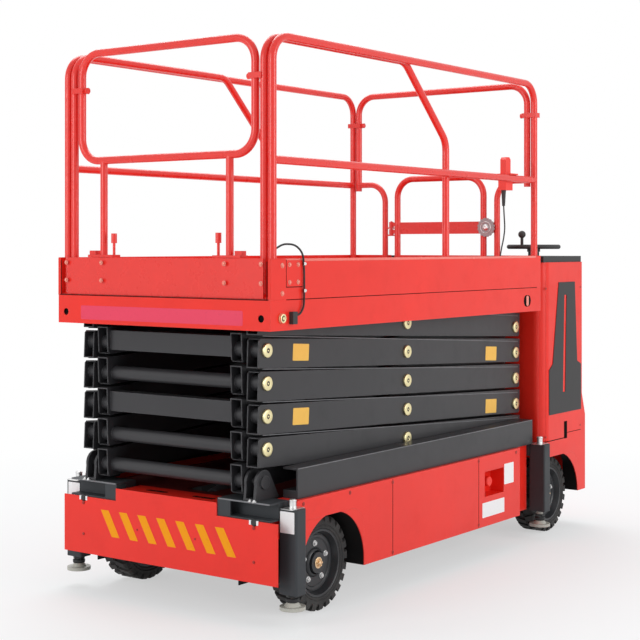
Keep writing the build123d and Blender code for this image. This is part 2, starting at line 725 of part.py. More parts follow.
rim_radius = RIM_DIAMETER / 2
rim_edge_z = wheel_radius + rim_radius
tread_z = wheel_radius + wheel_radius
bore_radius = STUB_DIAMETER / 2 + RUNNING_CLEARANCE
for axle_name, axle_x in (("front", FRONT_AXLE_X), ("steer", steer_axle_x)):
    for side_name, side in SIDES.items():
        outer = side * WHEEL_OUTER_Y
        inner = side * (WHEEL_OUTER_Y - WHEEL_WIDTH)
        step = side * TYRE_SHOULDER
        axis = Axis((axle_x, 0, wheel_radius), (0, 1, 0))
        with BuildPart() as tyre:
            with BuildSketch(Plane.YZ.offset(axle_x)):
                with BuildLine():
                    Polyline(
                        (inner + step / 2, rim_edge_z),
                        (inner, rim_edge_z + TYRE_SHOULDER),
                        (inner, tread_z - TYRE_SHOULDER),
                        (inner + step, tread_z),
                        (outer - step, tread_z),
                        (outer, tread_z - TYRE_SHOULDER),
                        (outer, rim_edge_z + TYRE_SHOULDER),
                        (outer - step / 2, rim_edge_z),
                        (inner + step / 2, rim_edge_z),
                    )
                make_face()
            revolve(axis=axis)
        save(tyre.part, f"tyre_{axle_name}_{side_name}")

        rim_out = outer - step / 2
        rim_in = inner + step / 2
        disc_out = outer - side * RIM_DISC_DEPTH
        disc_in = disc_out - side * RIM_DISC
        cap_out = outer - side * HUB_CAP_DEPTH
        cap_in = cap_out - side * PLATE
        hub_z = wheel_radius + HUB_RADIUS
        with BuildPart() as rim:
            with BuildSketch(Plane.YZ.offset(axle_x)):
                with BuildLine():
                    Polyline(
                        (rim_in, rim_edge_z - SEAT_GAP),
                        (rim_out, rim_edge_z - SEAT_GAP),
                        (rim_out, rim_edge_z - RIM_LIP),
                        (disc_out, rim_edge_z - RIM_DISH),
                        (disc_out, hub_z),
                        (cap_out, hub_z - 4),
                        (cap_out, wheel_radius),
                        (cap_in, wheel_radius),
                        (cap_in, wheel_radius + bore_radius),
                        (side * hub_inner_y, wheel_radius + bore_radius),
                        (side * hub_inner_y, hub_z),
                        (disc_in, hub_z + 4),
                        (disc_in, rim_edge_z - RIM_DISH),
                        (rim_in, rim_edge_z - RIM_LIP),
                        (rim_in, rim_edge_z - SEAT_GAP),
                    )
                make_face()
            revolve(axis=axis)
        save(rim.part, f"rim_{axle_name}_{side_name}")

# ---- scissor arms -------------------------------------------------------
# cross member at the near end of each inner pair, from the top stage down
NEAR_CROSS = {1: "box", 2: "round", 3: "box", 4: "round", 5: "round"}


def arm_tube(y_mid, near_z, far_z, pin_side):
    """Hollow rectangular arm between two ends, inside the open part.

    near_z and far_z are the tube's centre heights over the two end pins.
    pin_side is +1 where the near pin lies above the centre line, -1 below.
    """
    slope = atan2(far_z - near_z, ARM_SPAN)
    length = hypot(ARM_SPAN, far_z - near_z) + 2 * ARM_OVERHANG
    middle = (centre_pin_x, y_mid + ARM_WIDTH / 2, (near_z + far_z) / 2)
    plane = Plane(origin=middle, x_dir=(cos(slope), 0, sin(slope)), z_dir=(0, -1, 0))
    half = length / 2
    cut = ARM_END_CHAMFER
    top = ARM_HEIGHT / 2
    with BuildSketch(plane) as outline:
        with BuildLine():
            Polyline(
                (-half, -pin_side * top),
                (-half, pin_side * (top - cut)),
                (-half + cut, pin_side * top),
                (half, pin_side * top),
                (half, -pin_side * (top - cut)),
                (half - cut, -pin_side * top),
                (-half, -pin_side * top),
            )
        make_face()
    extrude(outline.sketch, amount=ARM_WIDTH)
    hollow = Plane(
        origin=(centre_pin_x, y_mid + ARM_WIDTH / 2 - ARM_WALL, (near_z + far_z) / 2),
        x_dir=(cos(slope), 0, sin(slope)),
        z_dir=(0, -1, 0),
    )
    with BuildSketch(hollow) as bore:
        Rectangle(length + 2 * ARM_WALL, ARM_HEIGHT - 2 * ARM_WALL)
    extrude(bore.sketch, amount=ARM_WIDTH - 2 * ARM_WALL, mode=Mode.SUBTRACT)


pin_bore = PIN_DIAMETER + 2 * RUNNING_CLEARANCE
for stage in range(1, STAGES + 1):
    low_z = low_pin_z + (STAGES - stage) * PITCH
    high_z = low_z + PITCH
    mid_z = (low_z + high_z) / 2

    # inner pair: near end low, far end high
    with BuildPart() as inner:
        for side in SIDES.values():
            arm_tube(side * INNER_ARM_Y, low_z + PIN_OFFSET, high_z - PIN_OFFSET, -1)
            for pin_x, pin_z in ((NEAR_PIN_X, low_z), (centre_pin_x, mid_z), (far_pin_x, high_z)):
                rod_along_y(
                    pin_x,
                    pin_z,
                    side * (inner_inner_face + 1),
                    side * (inner_outer_face - 1),
                    BOSS_DIAMETER,
                )
        if NEAR_CROSS[stage] == "box":
            box_between(
                (NEAR_PIN_X - 35, -inner_inner_face, low_z - CROSS_BOX_HEIGHT / 2 + PIN_OFFSET),
                (NEAR_PIN_X + 35, inner_inner_face, low_z + CROSS_BOX_HEIGHT / 2 + PIN_OFFSET),
            )
        else:
            rod_along_y(NEAR_PIN_X, low_z, -inner_inner_face, inner_inner_face, CROSS_TUBE_DIAMETER)
        rod_along_y(far_pin_x, high_z, -inner_inner_face, inner_inner_face, CROSS_TUBE_DIAMETER)
        if stage == STAGES:
            # crossbar and ears that take the lift cylinder's rod eye
            bar_x = rod_eye_x + ROD_BAR_START
            box_between(
                (bar_x, -inner_inner_face, rod_eye_z - EAR_HALF),
                (bar_x + ROD_BAR_LENGTH, inner_inner_face, rod_eye_z + EAR_HALF),
            )
            for side in SIDES.values():
                ear_face = RAM_EYE_HALF + EAR_GAP
                ear_y = sorted((side * ear_face, side * (ear_face + EAR_PLATE)))
                box_between(
                    (rod_eye_x - EAR_HALF, ear_y[0], rod_eye_z - EAR_HALF),
                    (bar_x + 1, ear_y[1], rod_eye_z + EAR_HALF),
                )
        for side in SIDES.values():
            for pin_x, pin_z in ((NEAR_PIN_X, low_z), (centre_pin_x, mid_z), (far_pin_x, high_z)):
                if stage == 1 and pin_x == far_pin_x:
                    continue
                rod_along_y(
                    pin_x,
                    pin_z,
                    side * (inner_inner_face + 3),
                    side * (inner_outer_face + 5),
                    pin_bore,
                    Mode.SUBTRACT,
                )
            if stage == 1:
                rod_along_y(
                    far_pin_x, high_z, side * (inner_outer_face - 2), side * (ROLLER_Y - 10), PIN_DIAMETER
                )
                rod_along_y(
                    far_pin_x,
                    high_z,
                    side * (ROLLER_Y - ROLLER_WIDTH / 2),
                    side * (ROLLER_Y + ROLLER_WIDTH / 2),
                    ROLLER_DIAMETER,
                )
    save(inner.part, f"inner_arms_{stage}")

    # outer pair: near end high, far end low, with the pins that join the pairs
    with BuildPart() as outer:
        for side in SIDES.values():
            arm_tube(side * OUTER_ARM_Y, high_z - PIN_OFFSET, low_z + PIN_OFFSET, 1)
            for pin_x, pin_z in ((NEAR_PIN_X, high_z), (centre_pin_x, mid_z), (far_pin_x, low_z)):
                rod_along_y(
                    pin_x,
                    pin_z,
                    side * (outer_inner_face + 1),
                    side * (outer_outer_face - 1),
                    BOSS_DIAMETER,
                )
                into_platform = stage == 1 and pin_x == NEAR_PIN_X
                to_roller = stage == STAGES and pin_x == far_pin_x
                if into_platform:
                    rod_along_y(
                        pin_x,
                        pin_z,
                        side * OUTER_ARM_Y,
                        side * (platform_pin_y - SEAT_GAP),
                        PIN_DIAMETER,
                    )
                elif to_roller:
                    rod_along_y(pin_x, pin_z, side * OUTER_ARM_Y, side * (ROLLER_Y - 10), PIN_DIAMETER)
                    rod_along_y(
                        pin_x,
                        pin_z,
                        side * (ROLLER_Y - ROLLER_WIDTH / 2),
                        side * (ROLLER_Y + ROLLER_WIDTH / 2),
                        ROLLER_DIAMETER,
                    )
                else:
                    rod_along_y(
                        pin_x, pin_z, side * (inner_inner_face + 4), side * OUTER_ARM_Y, PIN_DIAMETER
                    )
                    rod_along_y(
                        pin_x,
                        pin_z,
                        side * (inner_outer_face + SEAT_GAP),
                        side * (outer_inner_face + 1),
                        COLLAR_DIAMETER,
                    )
                    rod_along_y(
                        pin_x,
                        pin_z,
                        side * (outer_outer_face - 1),
                        side * (outer_outer_face + PIN_HEAD_THICKNESS),
                        PIN_HEAD_DIAMETER,
                    )
    save(outer.part, f"outer_arms_{stage}")

# ---- lift cylinder ------------------------------------------------------
cylinder_angle = atan2(rod_eye_z - cylinder_foot_z, rod_eye_x - cylinder_foot_x)
cylinder_length = hypot(rod_eye_z - cylinder_foot_z, rod_eye_x - cylinder_foot_x)
ram_direction = (cos(cylinder_angle), 0, sin(cylinder_angle))


def ram_plane(reach):
    """Plane square to the cylinder at a distance from its foot pin."""
    origin = (cylinder_foot_x + reach * ram_direction[0], 0, cylinder_foot_z + reach * ram_direction[2])
    return Plane(origin=origin, x_dir=(0, 1, 0), z_dir=ram_direction)


with BuildPart() as barrel:
    with BuildSketch(ram_plane(BARREL_START)):
        Circle(BARREL_DIAMETER / 2)
    extrude(amount=BARREL_LENGTH - BARREL_START)
    rod_along_y(cylinder_foot_x, cylinder_foot_z, -RAM_EYE_HALF, RAM_EYE_HALF, RAM_EYE_DIAMETER)
    rod_along_y(
        cylinder_foot_x,
        cylinder_foot_z,
        -RAM_EYE_HALF - PLATE,
        RAM_EYE_HALF + PLATE,
        FOOT_PIN_DIAMETER + 2 * RUNNING_CLEARANCE,
        Mode.SUBTRACT,
    )
    with BuildSketch(ram_plane(RAM_BORE_START)):
        Circle(ROD_DIAMETER / 2 + RUNNING_CLEARANCE)
    extrude(amount=BARREL_LENGTH, mode=Mode.SUBTRACT)
save(barrel.part, "cylinder_barrel")

with BuildPart() as rod:
    with BuildSketch(ram_plane(RAM_ROD_START)):
        Circle(ROD_DIAMETER / 2)
    extrude(amount=cylinder_length - RAM_ROD_START)
    rod_along_y(rod_eye_x, rod_eye_z, -RAM_EYE_HALF, RAM_EYE_HALF, ROD_EYE_DIAMETER)
save(rod.part, "cylinder_rod")

# ---- platform -----------------------------------------------------------
top_strip_z = top_pin_z + ROLLER_DIAMETER / 2 + SEAT_GAP
with BuildPart() as platform_frame:
    for side in SIDES.values():
        web_y = sorted((side * PLATFORM_HALF, side * (PLATFORM_HALF - BEAM_WALL)))
        flange_y = sorted((side * PLATFORM_HALF, side * RAIL_INNER_Y))
        box_between((PLATFORM_NEAR_X, web_y[0], beam_bottom_z), (PLATFORM_FAR_X, web_y[1], beam_top_z))
        box_between(
            (PLATFORM_NEAR_X, flange_y[0], beam_bottom_z),
            (PLATFORM_FAR_X, flange_y[1], beam_bottom_z + BEAM_WALL),
        )
        box_between((PLATFORM_NEAR_X, flange_y[0], top_strip_z), (PLATFORM_FAR_X, flange_y[1], beam_top_z))
        lug_y = sorted((side * RAIL_INNER_Y, side * (RAIL_INNER_Y + LUG_PLATE)))
        box_between(
            (NEAR_PIN_X - LUG_RADIUS, lug_y[0], beam_bottom_z),
            (NEAR_PIN_X + LUG_RADIUS, lug_y[1], beam_top_z),
        )
    for x_from, x_to in (
        (PLATFORM_NEAR_X, PLATFORM_NEAR_X + BEAM_WALL),
        (PLATFORM_FAR_X - BEAM_WALL, PLATFORM_FAR_X),
    ):
        box_between((x_from, -PLATFORM_HALF, beam_bottom_z), (x_to, PLATFORM_HALF, beam_top_z))
    for side in SIDES.values():
        rod_along_y(
            NEAR_PIN_X, top_pin_z, side * (RAIL_INNER_Y - 5), side * platform_pin_y, pin_bore, Mode.SUBTRACT
        )
        rod_along_y(
            KEEPER_BOLT_X,
            top_pin_z,
            side * (PLATFORM_HALF - 1),
            side * (PLATFORM_HALF + PIN_HEAD_THICKNESS),
            KEEPER_BOLT_DIAMETER,
        )
        with BuildSketch(Plane.YZ.offset(PLATFORM_NEAR_X)) as tie_hole:
            with Locations((side * TIE_HOLE_Y, top_pin_z)):
                Circle(TIE_HOLE_DIAMETER / 2)
        extrude(tie_hole.sketch, amount=BEAM_WALL, mode=Mode.SUBTRACT)
save(platform_frame.part, "platform_frame")

with BuildPart() as platform_deck:
    box_between(
        (PLATFORM_NEAR_X, -PLATFORM_HALF + 4, beam_top_z),
        (PLATFORM_FAR_X, PLATFORM_HALF - 4, deck_top_z),
    )
save(platform_deck.part, "platform_deck")

with BuildPart() as toe_boards:
    for side in SIDES.values():
        plate_y = sorted((side * toe_face_y, side * PLATFORM_HALF))
        box_between((PLATFORM_NEAR_X, plate_y[0], beam_top_z), (PLATFORM_FAR_X, plate_y[1], toe_top_z))
        end_y = sorted((side * (toe_face_y + 1), side * (LOOP_LEG_Y - 20)))
        box_between(
            (PLATFORM_FAR_X - TOE_PLATE, end_y[0], deck_top_z),
            (PLATFORM_FAR_X, end_y[1], toe_top_z),
        )
save(toe_boards.part, "toe_boards")

for side_name, side in SIDES.items():
    side_plane = Plane.XZ.offset(-side * post_y)
    with BuildPart() as guard_rail:
        bent_tube(
            side_plane,
            [
                (NEAR_POST_X, deck_top_z),
                (NEAR_POST_X, top_rail_z),
                (FAR_POST_X, top_rail_z),
                (FAR_POST_X, deck_top_z),
            ],
            BEND_RADIUS,
        )
        bent_tube(side_plane, [(NEAR_POST_X, mid_rail_z), (FAR_POST_X, mid_rail_z)], None)
    save(guard_rail.part, f"guard_rail_{side_name}")

def clamp(x, tube_y, outer_y, other_tube_y):
    """Collar from a tube of the open part round its neighbour, with a knob inside."""
    side = 1 if tube_y > 0 else -1
    clamp_y = sorted((tube_y - side * (RAIL_TUBE / 2 + CLAMP_WALL), outer_y))
    box_between(
        (x - CLAMP_HALF_X, clamp_y[0], CLAMP_Z - CLAMP_HEIGHT / 2),
        (x + CLAMP_HALF_X, clamp_y[1], CLAMP_Z + CLAMP_HEIGHT / 2),
    )
    rod_along_z(
        x,
        other_tube_y,
        CLAMP_Z - CLAMP_HEIGHT,
        CLAMP_Z + CLAMP_HEIGHT,
        RAIL_TUBE + 2 * SEAT_GAP,
        Mode.SUBTRACT,
    )
    knob_y = tube_y - side * RAIL_TUBE / 2
    rod_along_y(x, CLAMP_Z, knob_y, knob_y - side * CLAMP_KNOB_REACH, CLAMP_KNOB_DIAMETER)


with BuildPart() as guard_rail_far:
    far_plane = Plane.YZ.offset(FAR_POST_X)
    hoop_y = slide_post_y
    hoop_low_z = mid_rail_z - RAIL_TUBE
    bent_tube(
        far_plane,
        [(hoop_y, hoop_low_z), (hoop_y, top_rail_z), (-hoop_y, top_rail_z), (-hoop_y, hoop_low_z)],
        BEND_RADIUS,
    )
    for side in SIDES.values():
        bent_tube(
            far_plane,
            [
                (side * (hoop_y - 8), mid_rail_z),
                (side * LOOP_LEG_Y, mid_rail_z),
                (side * LOOP_LEG_Y, deck_top_z),
            ],
            BEND_RADIUS,
            RAIL_TUBE - 2,
        )
    # hinge lugs on one side leg, latch keeper on the other
    for hinge_z in HINGE_HEIGHTS:
        lug_y = sorted((HINGE_SIDE * LOOP_LEG_Y, HINGE_SIDE * (hinge_y - HINGE_BARREL / 2)))
        box_between(
            (FAR_POST_X - HINGE_LUG_HALF, lug_y[0], hinge_z - HINGE_LUG_DROP),
            (FAR_POST_X + HINGE_LUG_HALF, lug_y[1], hinge_z),
        )
        rod_along_z(
            FAR_POST_X,
            HINGE_SIDE * hinge_y,
            hinge_z - HINGE_LUG_DROP / 2,
            hinge_z + HINGE_PIN_RISE,
            HINGE_PIN,
        )
    keeper_y = sorted((-HINGE_SIDE * (GATE_HALF + LATCH_TONGUE + LATCH_GAP), -HINGE_SIDE * LOOP_LEG_Y))
    box_between(
        (FAR_POST_X - GATE_BAND_HALF, keeper_y[0], GATE_BAND_Z + KEEPER_MARGIN),
        (FAR_POST_X + GATE_BAND_HALF, keeper_y[1], GATE_BAND_Z + GATE_BAND_HEIGHT - KEEPER_MARGIN),
    )
    # collars that tie the hoop to the side rails' posts
    for side in SIDES.values():
        clamp(FAR_POST_X, side * hoop_y, side * PLATFORM_HALF, side * post_y)
save(guard_rail_far.part, "guard_rail_far")

# ---- gate ---------------------------------------------------------------
gate_leg_y = GATE_HALF - RAIL_TUBE / 2
band_top_z = GATE_BAND_Z + GATE_BAND_HEIGHT
with BuildPart() as gate:
    gate_plane = Plane.YZ.offset(FAR_POST_X)
    bent_tube(
        gate_plane,
        [
            (gate_leg_y, GATE_BOTTOM_Z),
            (gate_leg_y, GATE_TOP_Z),
            (-gate_leg_y, GATE_TOP_Z),
            (-gate_leg_y, GATE_BOTTOM_Z),
        ],
        BEND_RADIUS,
    )
    box_between(
        (FAR_POST_X - GATE_BAND_HALF, -gate_leg_y, GATE_BAND_Z),
        (FAR_POST_X + GATE_BAND_HALF, gate_leg_y, band_top_z),
    )
    box_between(
        (FAR_POST_X - GATE_PANEL_HALF, -gate_leg_y, GATE_BOTTOM_Z),
        (FAR_POST_X + GATE_PANEL_HALF, gate_leg_y, toe_top_z),
    )
    # latch tongue and the fluted disc over it
    tongue_y = sorted((-HINGE_SIDE * gate_leg_y, -HINGE_SIDE * (GATE_HALF + LATCH_TONGUE)))
    box_between(
        (FAR_POST_X - GATE_BAND_HALF, tongue_y[0], GATE_BAND_Z + 10),
        (FAR_POST_X + GATE_BAND_HALF, tongue_y[1], band_top_z - 10),
    )
    for hinge_z in HINGE_HEIGHTS:
        rod_along_z(
            FAR_POST_X, HINGE_SIDE * hinge_y, hinge_z + SEAT_GAP, hinge_z + HINGE_PIN_RISE - 4, HINGE_BARREL
        )
        leaf_y = sorted((HINGE_SIDE * hinge_y, HINGE_SIDE * gate_leg_y))
        box_between(
            (FAR_POST_X - HINGE_LEAF_HALF, leaf_y[0], hinge_z + 4),
            (FAR_POST_X + HINGE_LEAF_HALF, leaf_y[1], hinge_z + 26),
        )
        rod_along_z(
            FAR_POST_X,
            HINGE_SIDE * hinge_y,
            hinge_z - 1,
            hinge_z + 40,
            HINGE_PIN + 2 * RUNNING_CLEARANCE,
            Mode.SUBTRACT,
        )
save(gate.part, "gate")

disc_y = -HINGE_SIDE * (GATE_HALF + LATCH_TONGUE / 2)
disc_z = GATE_BAND_Z + GATE_BAND_HEIGHT / 2
disc_far_x = FAR_POST_X - RAIL_TUBE / 2 - LATCH_DISC_GAP
with BuildPart() as latch_disc:
    with BuildSketch(Plane.YZ.offset(disc_far_x - LATCH_DISC_THICKNESS)) as disc:
        with Locations((disc_y, disc_z)):
            Circle(LATCH_DISC_DIAMETER / 2)
            with PolarLocations(LATCH_DISC_DIAMETER / 2 + 1, LATCH_FLUTES):
                Circle(LATCH_FLUTE_RADIUS, mode=Mode.SUBTRACT)
    extrude(disc.sketch, amount=LATCH_DISC_THICKNESS)
    with BuildSketch(Plane.YZ.offset(disc_far_x - 1)) as stem:
        with Locations((disc_y, disc_z)):
            Circle(LATCH_TONGUE / 2 - 1)
    extrude(stem.sketch, amount=FAR_POST_X - GATE_BAND_HALF - disc_far_x + 1)
save(latch_disc.part, "latch_disc")

# ---- sliding deck -------------------------------------------------------
slide_near_x = NEAR_POST_X - SLIDE_DECK_NEAR
slide_edge_y = slide_post_y + RAIL_TUBE / 2
with BuildPart() as slide_deck:
    box_between(
        (slide_near_x, -slide_edge_y, slide_deck_z),
        (SLIDE_SHOE_X + SLIDE_DECK_REACH, slide_edge_y, slide_deck_top_z),
    )
    box_between(
        (slide_near_x, -slide_edge_y, slide_deck_z),
        (slide_near_x + PLATE, slide_edge_y, toe_top_z),
    )
save(slide_deck.part, "slide_deck")

for side_name, side in SIDES.items():
    slide_plane = Plane.XZ.offset(-side * slide_post_y)
    with BuildPart() as slide_rail:
        bent_tube(
            slide_plane,
            [
                (NEAR_POST_X, slide_deck_top_z),
                (NEAR_POST_X, top_rail_z),
                (SLIDE_SHOE_X - SLIDE_RAIL_SLOPE, top_rail_z),
                (SLIDE_SHOE_X, SLIDE_RAIL_KNEE_Z),
                (SLIDE_SHOE_X, slide_deck_top_z),
            ],
            BEND_RADIUS,
        )
    save(slide_rail.part, f"slide_rail_{side_name}")

with BuildPart() as slide_loop:
    loop_plane = Plane.YZ.offset(NEAR_POST_X)
    with BuildLine(loop_plane) as loop_path:
        FilletPolyline(
            (LOOP_HALF - RAIL_TUBE / 2, LOOP_BOTTOM_Z),
            (LOOP_HALF - RAIL_TUBE / 2, top_rail_z),
            (-LOOP_HALF + RAIL_TUBE / 2, top_rail_z),
            (-LOOP_HALF + RAIL_TUBE / 2, LOOP_BOTTOM_Z),
            radius=BEND_RADIUS,
            close=True,
        )
    with BuildSketch(Plane(origin=loop_path.line @ 0, z_dir=loop_path.line % 0)):
        Circle(RAIL_TUBE / 2)
    sweep(path=loop_path.line)
    for side in SIDES.values():
        rod_along_z(NEAR_POST_X, side * LOOP_LEG_Y, slide_deck_top_z, LOOP_BOTTOM_Z, RAIL_TUBE - 2)
        # foot plate on the end board, with a block on its outer side
        foot_z = toe_top_z + LOOP_FOOT_LIFT
        with Locations((NEAR_POST_X, side * LOOP_LEG_Y, foot_z + LOOP_FOOT[2] / 2)):
            Box(*LOOP_FOOT)
        block_y = side * (LOOP_LEG_Y + LOOP_FOOT[1] / 2 - LOOP_BLOCK[1] / 2)
        with Locations((NEAR_POST_X, block_y, foot_z + LOOP_FOOT[2] + LOOP_BLOCK[2] / 2)):
            Box(*LOOP_BLOCK)
        pin_y = side * (LOOP_LEG_Y - LOOP_FOOT[1] / 2 + LOCK_KNOB_DIAMETER / 2)
        knob_top_z = foot_z + LOOP_FOOT[2] + LOCK_PIN_HEIGHT
        rod_along_z(NEAR_POST_X, pin_y, foot_z + 1, knob_top_z - 1, LOCK_PIN_DIAMETER)
        rod_along_z(NEAR_POST_X, pin_y, knob_top_z - LOCK_KNOB_HEIGHT, knob_top_z, LOCK_KNOB_DIAMETER)
        clamp(NEAR_POST_X, side * (LOOP_HALF - RAIL_TUBE / 2), side * slide_post_y, side * slide_post_y)
save(slide_loop.part, "slide_loop")

# ---- control box, switch and cables --------------------------------------
rail_inner_y = -(post_y - RAIL_TUBE / 2 - SEAT_GAP)
rail_over_z = mid_rail_z + RAIL_TUBE / 2 + SEAT_GAP
housing_low_z = rail_over_z + CONTROL_FLANGE[2] - CONTROL_HOUSING[2]
control_y = rail_inner_y + CONTROL_HOUSING[1] / 2
with BuildPart() as control_box:
    with Locations((CONTROL_X, control_y, housing_low_z + CONTROL_HOUSING[2] / 2)):
        Box(*CONTROL_HOUSING)
    # flange that hooks over the rail
    box_between(
        (CONTROL_X - CONTROL_FLANGE[0] / 2, -post_y - CONTROL_HOOK, rail_over_z),
        (
            CONTROL_X + CONTROL_FLANGE[0] / 2,
            rail_inner_y + CONTROL_FLANGE[1],
            rail_over_z + CONTROL_FLANGE[2],
        ),
    )
    with BuildPart(Plane.XY.offset(rail_over_z + CONTROL_FLANGE[2]), mode=Mode.PRIVATE) as grip:
        with Locations((CONTROL_X, control_y)):
            Box(*CONTROL_GRIP, align=(Align.CENTER, Align.CENTER, Align.MIN))
        chamfer(grip.edges().group_by(Axis.Z)[-1].filter_by(Axis.Y), CONTROL_GRIP_CHAMFER)
    add(grip.part)
save(control_box.part, "control_box")

gland_end_z = housing_low_z - GLAND_LENGTH
socket_x = 508
socket_top_z = 1355
socket_y = -toe_face_y + SEAT_GAP + SOCKET_SIZE[1] / 2
switch_z = top_pin_z
with BuildPart() as cable_fittings:
    with BuildSketch(Plane.XY.offset(housing_low_z)) as gland_top:
        with Locations((GLAND_X, control_y)):
            Circle(GLAND_TOP_DIAMETER / 2)
    with BuildSketch(Plane.XY.offset(gland_end_z)) as gland_end:
        with Locations((GLAND_X, control_y)):
            Circle(GLAND_END_DIAMETER / 2)
    loft([gland_top.sketch, gland_end.sketch])
    # socket on the inner face of the toe board
    with Locations((socket_x, socket_y, socket_top_z - SOCKET_SIZE[2] / 2)):
        Box(*SOCKET_SIZE)
    rod_along_z(
        socket_x, socket_y, socket_top_z - 1, socket_top_z + SOCKET_GLAND_HEIGHT, GLAND_END_DIAMETER
    )
    # limit switch beside the platform's pin
    with Locations((SWITCH_X, -PLATFORM_HALF - SEAT_GAP - SWITCH_SIZE[1] / 2, switch_z)):
        Box(*SWITCH_SIZE)
save(cable_fittings.part, "cable_fittings")


def cable(points, diameter):
    """Solid tube along straight runs joined by arcs as large as the runs allow."""
    turns = [(Vector(*points[i + 1]) - Vector(*points[i])) for i in range(len(points) - 1)]
    radii = []
    for before, after in zip(turns, turns[1:]):
        angle = radians(before.get_angle(after))
        radii.append(0.45 * min(before.length, after.length) / tan(angle / 2))
    with BuildPart() as tube:
        with BuildLine() as path:
            FilletPolyline(*points, radius=radii)
        with BuildSketch(Plane(origin=path.line @ 0, z_dir=path.line % 0)) as ring:
            Circle(diameter / 2)
        sweep(ring.sketch, path=path.line)
    print(
        "cable radii",
        [round(radius) for radius in radii],
        "length",
        round(sum(edge.length for edge in path.edges())),
    )
    return tube.part


control_route = [
    (GLAND_X, control_y, gland_end_z),
    (GLAND_X + 6, control_y, gland_end_z - 56),
    (GLAND_X + 10, control_y - 2, gland_end_z - 112),
    (GLAND_X - 6, control_y - 3, gland_end_z - 168),
    (GLAND_X - 34, control_y - 5, gland_end_z - 220),
    (GLAND_X - 62, control_y - 12, gland_end_z - 272),
    (socket_x + 2, socket_y + 2, gland_end_z - 320),
    (socket_x, socket_y, socket_top_z + SOCKET_GLAND_HEIGHT),
]
save(cable(control_route, CONTROL_CABLE_DIAMETER), "control_cable")

lead_y = -PLATFORM_HALF - SWITCH_LEAD_OFF
lead_route = [
    (NEAR_POST_X + RAIL_TUBE / 2 + SWITCH_LEAD_END_GAP, -post_y, toe_top_z + 38),
    (-1300, -post_y - 8, toe_top_z + 58),
    (-1246, lead_y + 4, toe_top_z + 56),
    (SWITCH_LEAD_X - 8, lead_y, toe_top_z + 22),
    (SWITCH_LEAD_X, lead_y, toe_top_z - 40),
    (SWITCH_LEAD_X + 1, lead_y, toe_top_z - 140),
    (SWITCH_LEAD_X - 2, lead_y, switch_z + 42),
    (SWITCH_LEAD_X - 26, lead_y, switch_z + 14),
    (SWITCH_X + SWITCH_SIZE[0] / 2, lead_y, switch_z + 8),
]
save(cable(lead_route, SWITCH_LEAD_DIAMETER), "switch_lead")

# ---- console ------------------------------------------------------------
with BuildPart() as console_body:
    with BuildSketch(Plane.XZ.offset(-console_half)) as outline:
        with BuildLine():
            Polyline(
                (CONSOLE_NEAR_X, CONSOLE_BOTTOM_Z),
                (CONSOLE_NEAR_X, CONSOLE_TOP_Z),
                (CONSOLE_FAR_X, CONSOLE_TOP_Z),
                (CONSOLE_FAR_X, CONSOLE_KNEE_Z),
                (CONSOLE_TAIL_X, CONSOLE_SKIRT_Z),
                (CONSOLE_TAIL_X, CONSOLE_BOTTOM_Z),
                (CONSOLE_NEAR_X, CONSOLE_BOTTOM_Z),
            )
        make_face()
    extrude(amount=2 * console_half)
    fillet(console_body.edges().filter_by(Axis.Z).group_by(Axis.X)[0], CONSOLE_CORNER)
    wall = CONSOLE_WALL
    with BuildSketch(Plane.XZ.offset(-console_half + wall)):
        with BuildLine():
            Polyline(
                (CONSOLE_NEAR_X + wall, CONSOLE_BOTTOM_Z - wall),
                (CONSOLE_NEAR_X + wall, CONSOLE_TOP_Z - wall),
                (CONSOLE_FAR_X - wall, CONSOLE_TOP_Z - wall),
                (CONSOLE_FAR_X - wall, CONSOLE_KNEE_Z),
                (CONSOLE_TAIL_X - wall, CONSOLE_SKIRT_Z),
                (CONSOLE_TAIL_X - wall, CONSOLE_BOTTOM_Z - wall),
                (CONSOLE_NEAR_X + wall, CONSOLE_BOTTOM_Z - wall),
            )
        make_face()
    extrude(amount=2 * (console_half - wall), mode=Mode.SUBTRACT)
    wheel_arch(steer_axle_x, -console_half - PLATE, console_half + PLATE)
    # the near wall stands over the chassis spine
    box_between(
        (CONSOLE_NEAR_X - 1, -SPINE_HALF - SEAT_GAP, SKIRT_BOTTOM_Z),
        (CONSOLE_NEAR_X + wall + 1, SPINE_HALF + SEAT_GAP, CHASSIS_TOP_Z + SEAT_GAP),
        Mode.SUBTRACT,
    )
save(console_body.part, "console_body")

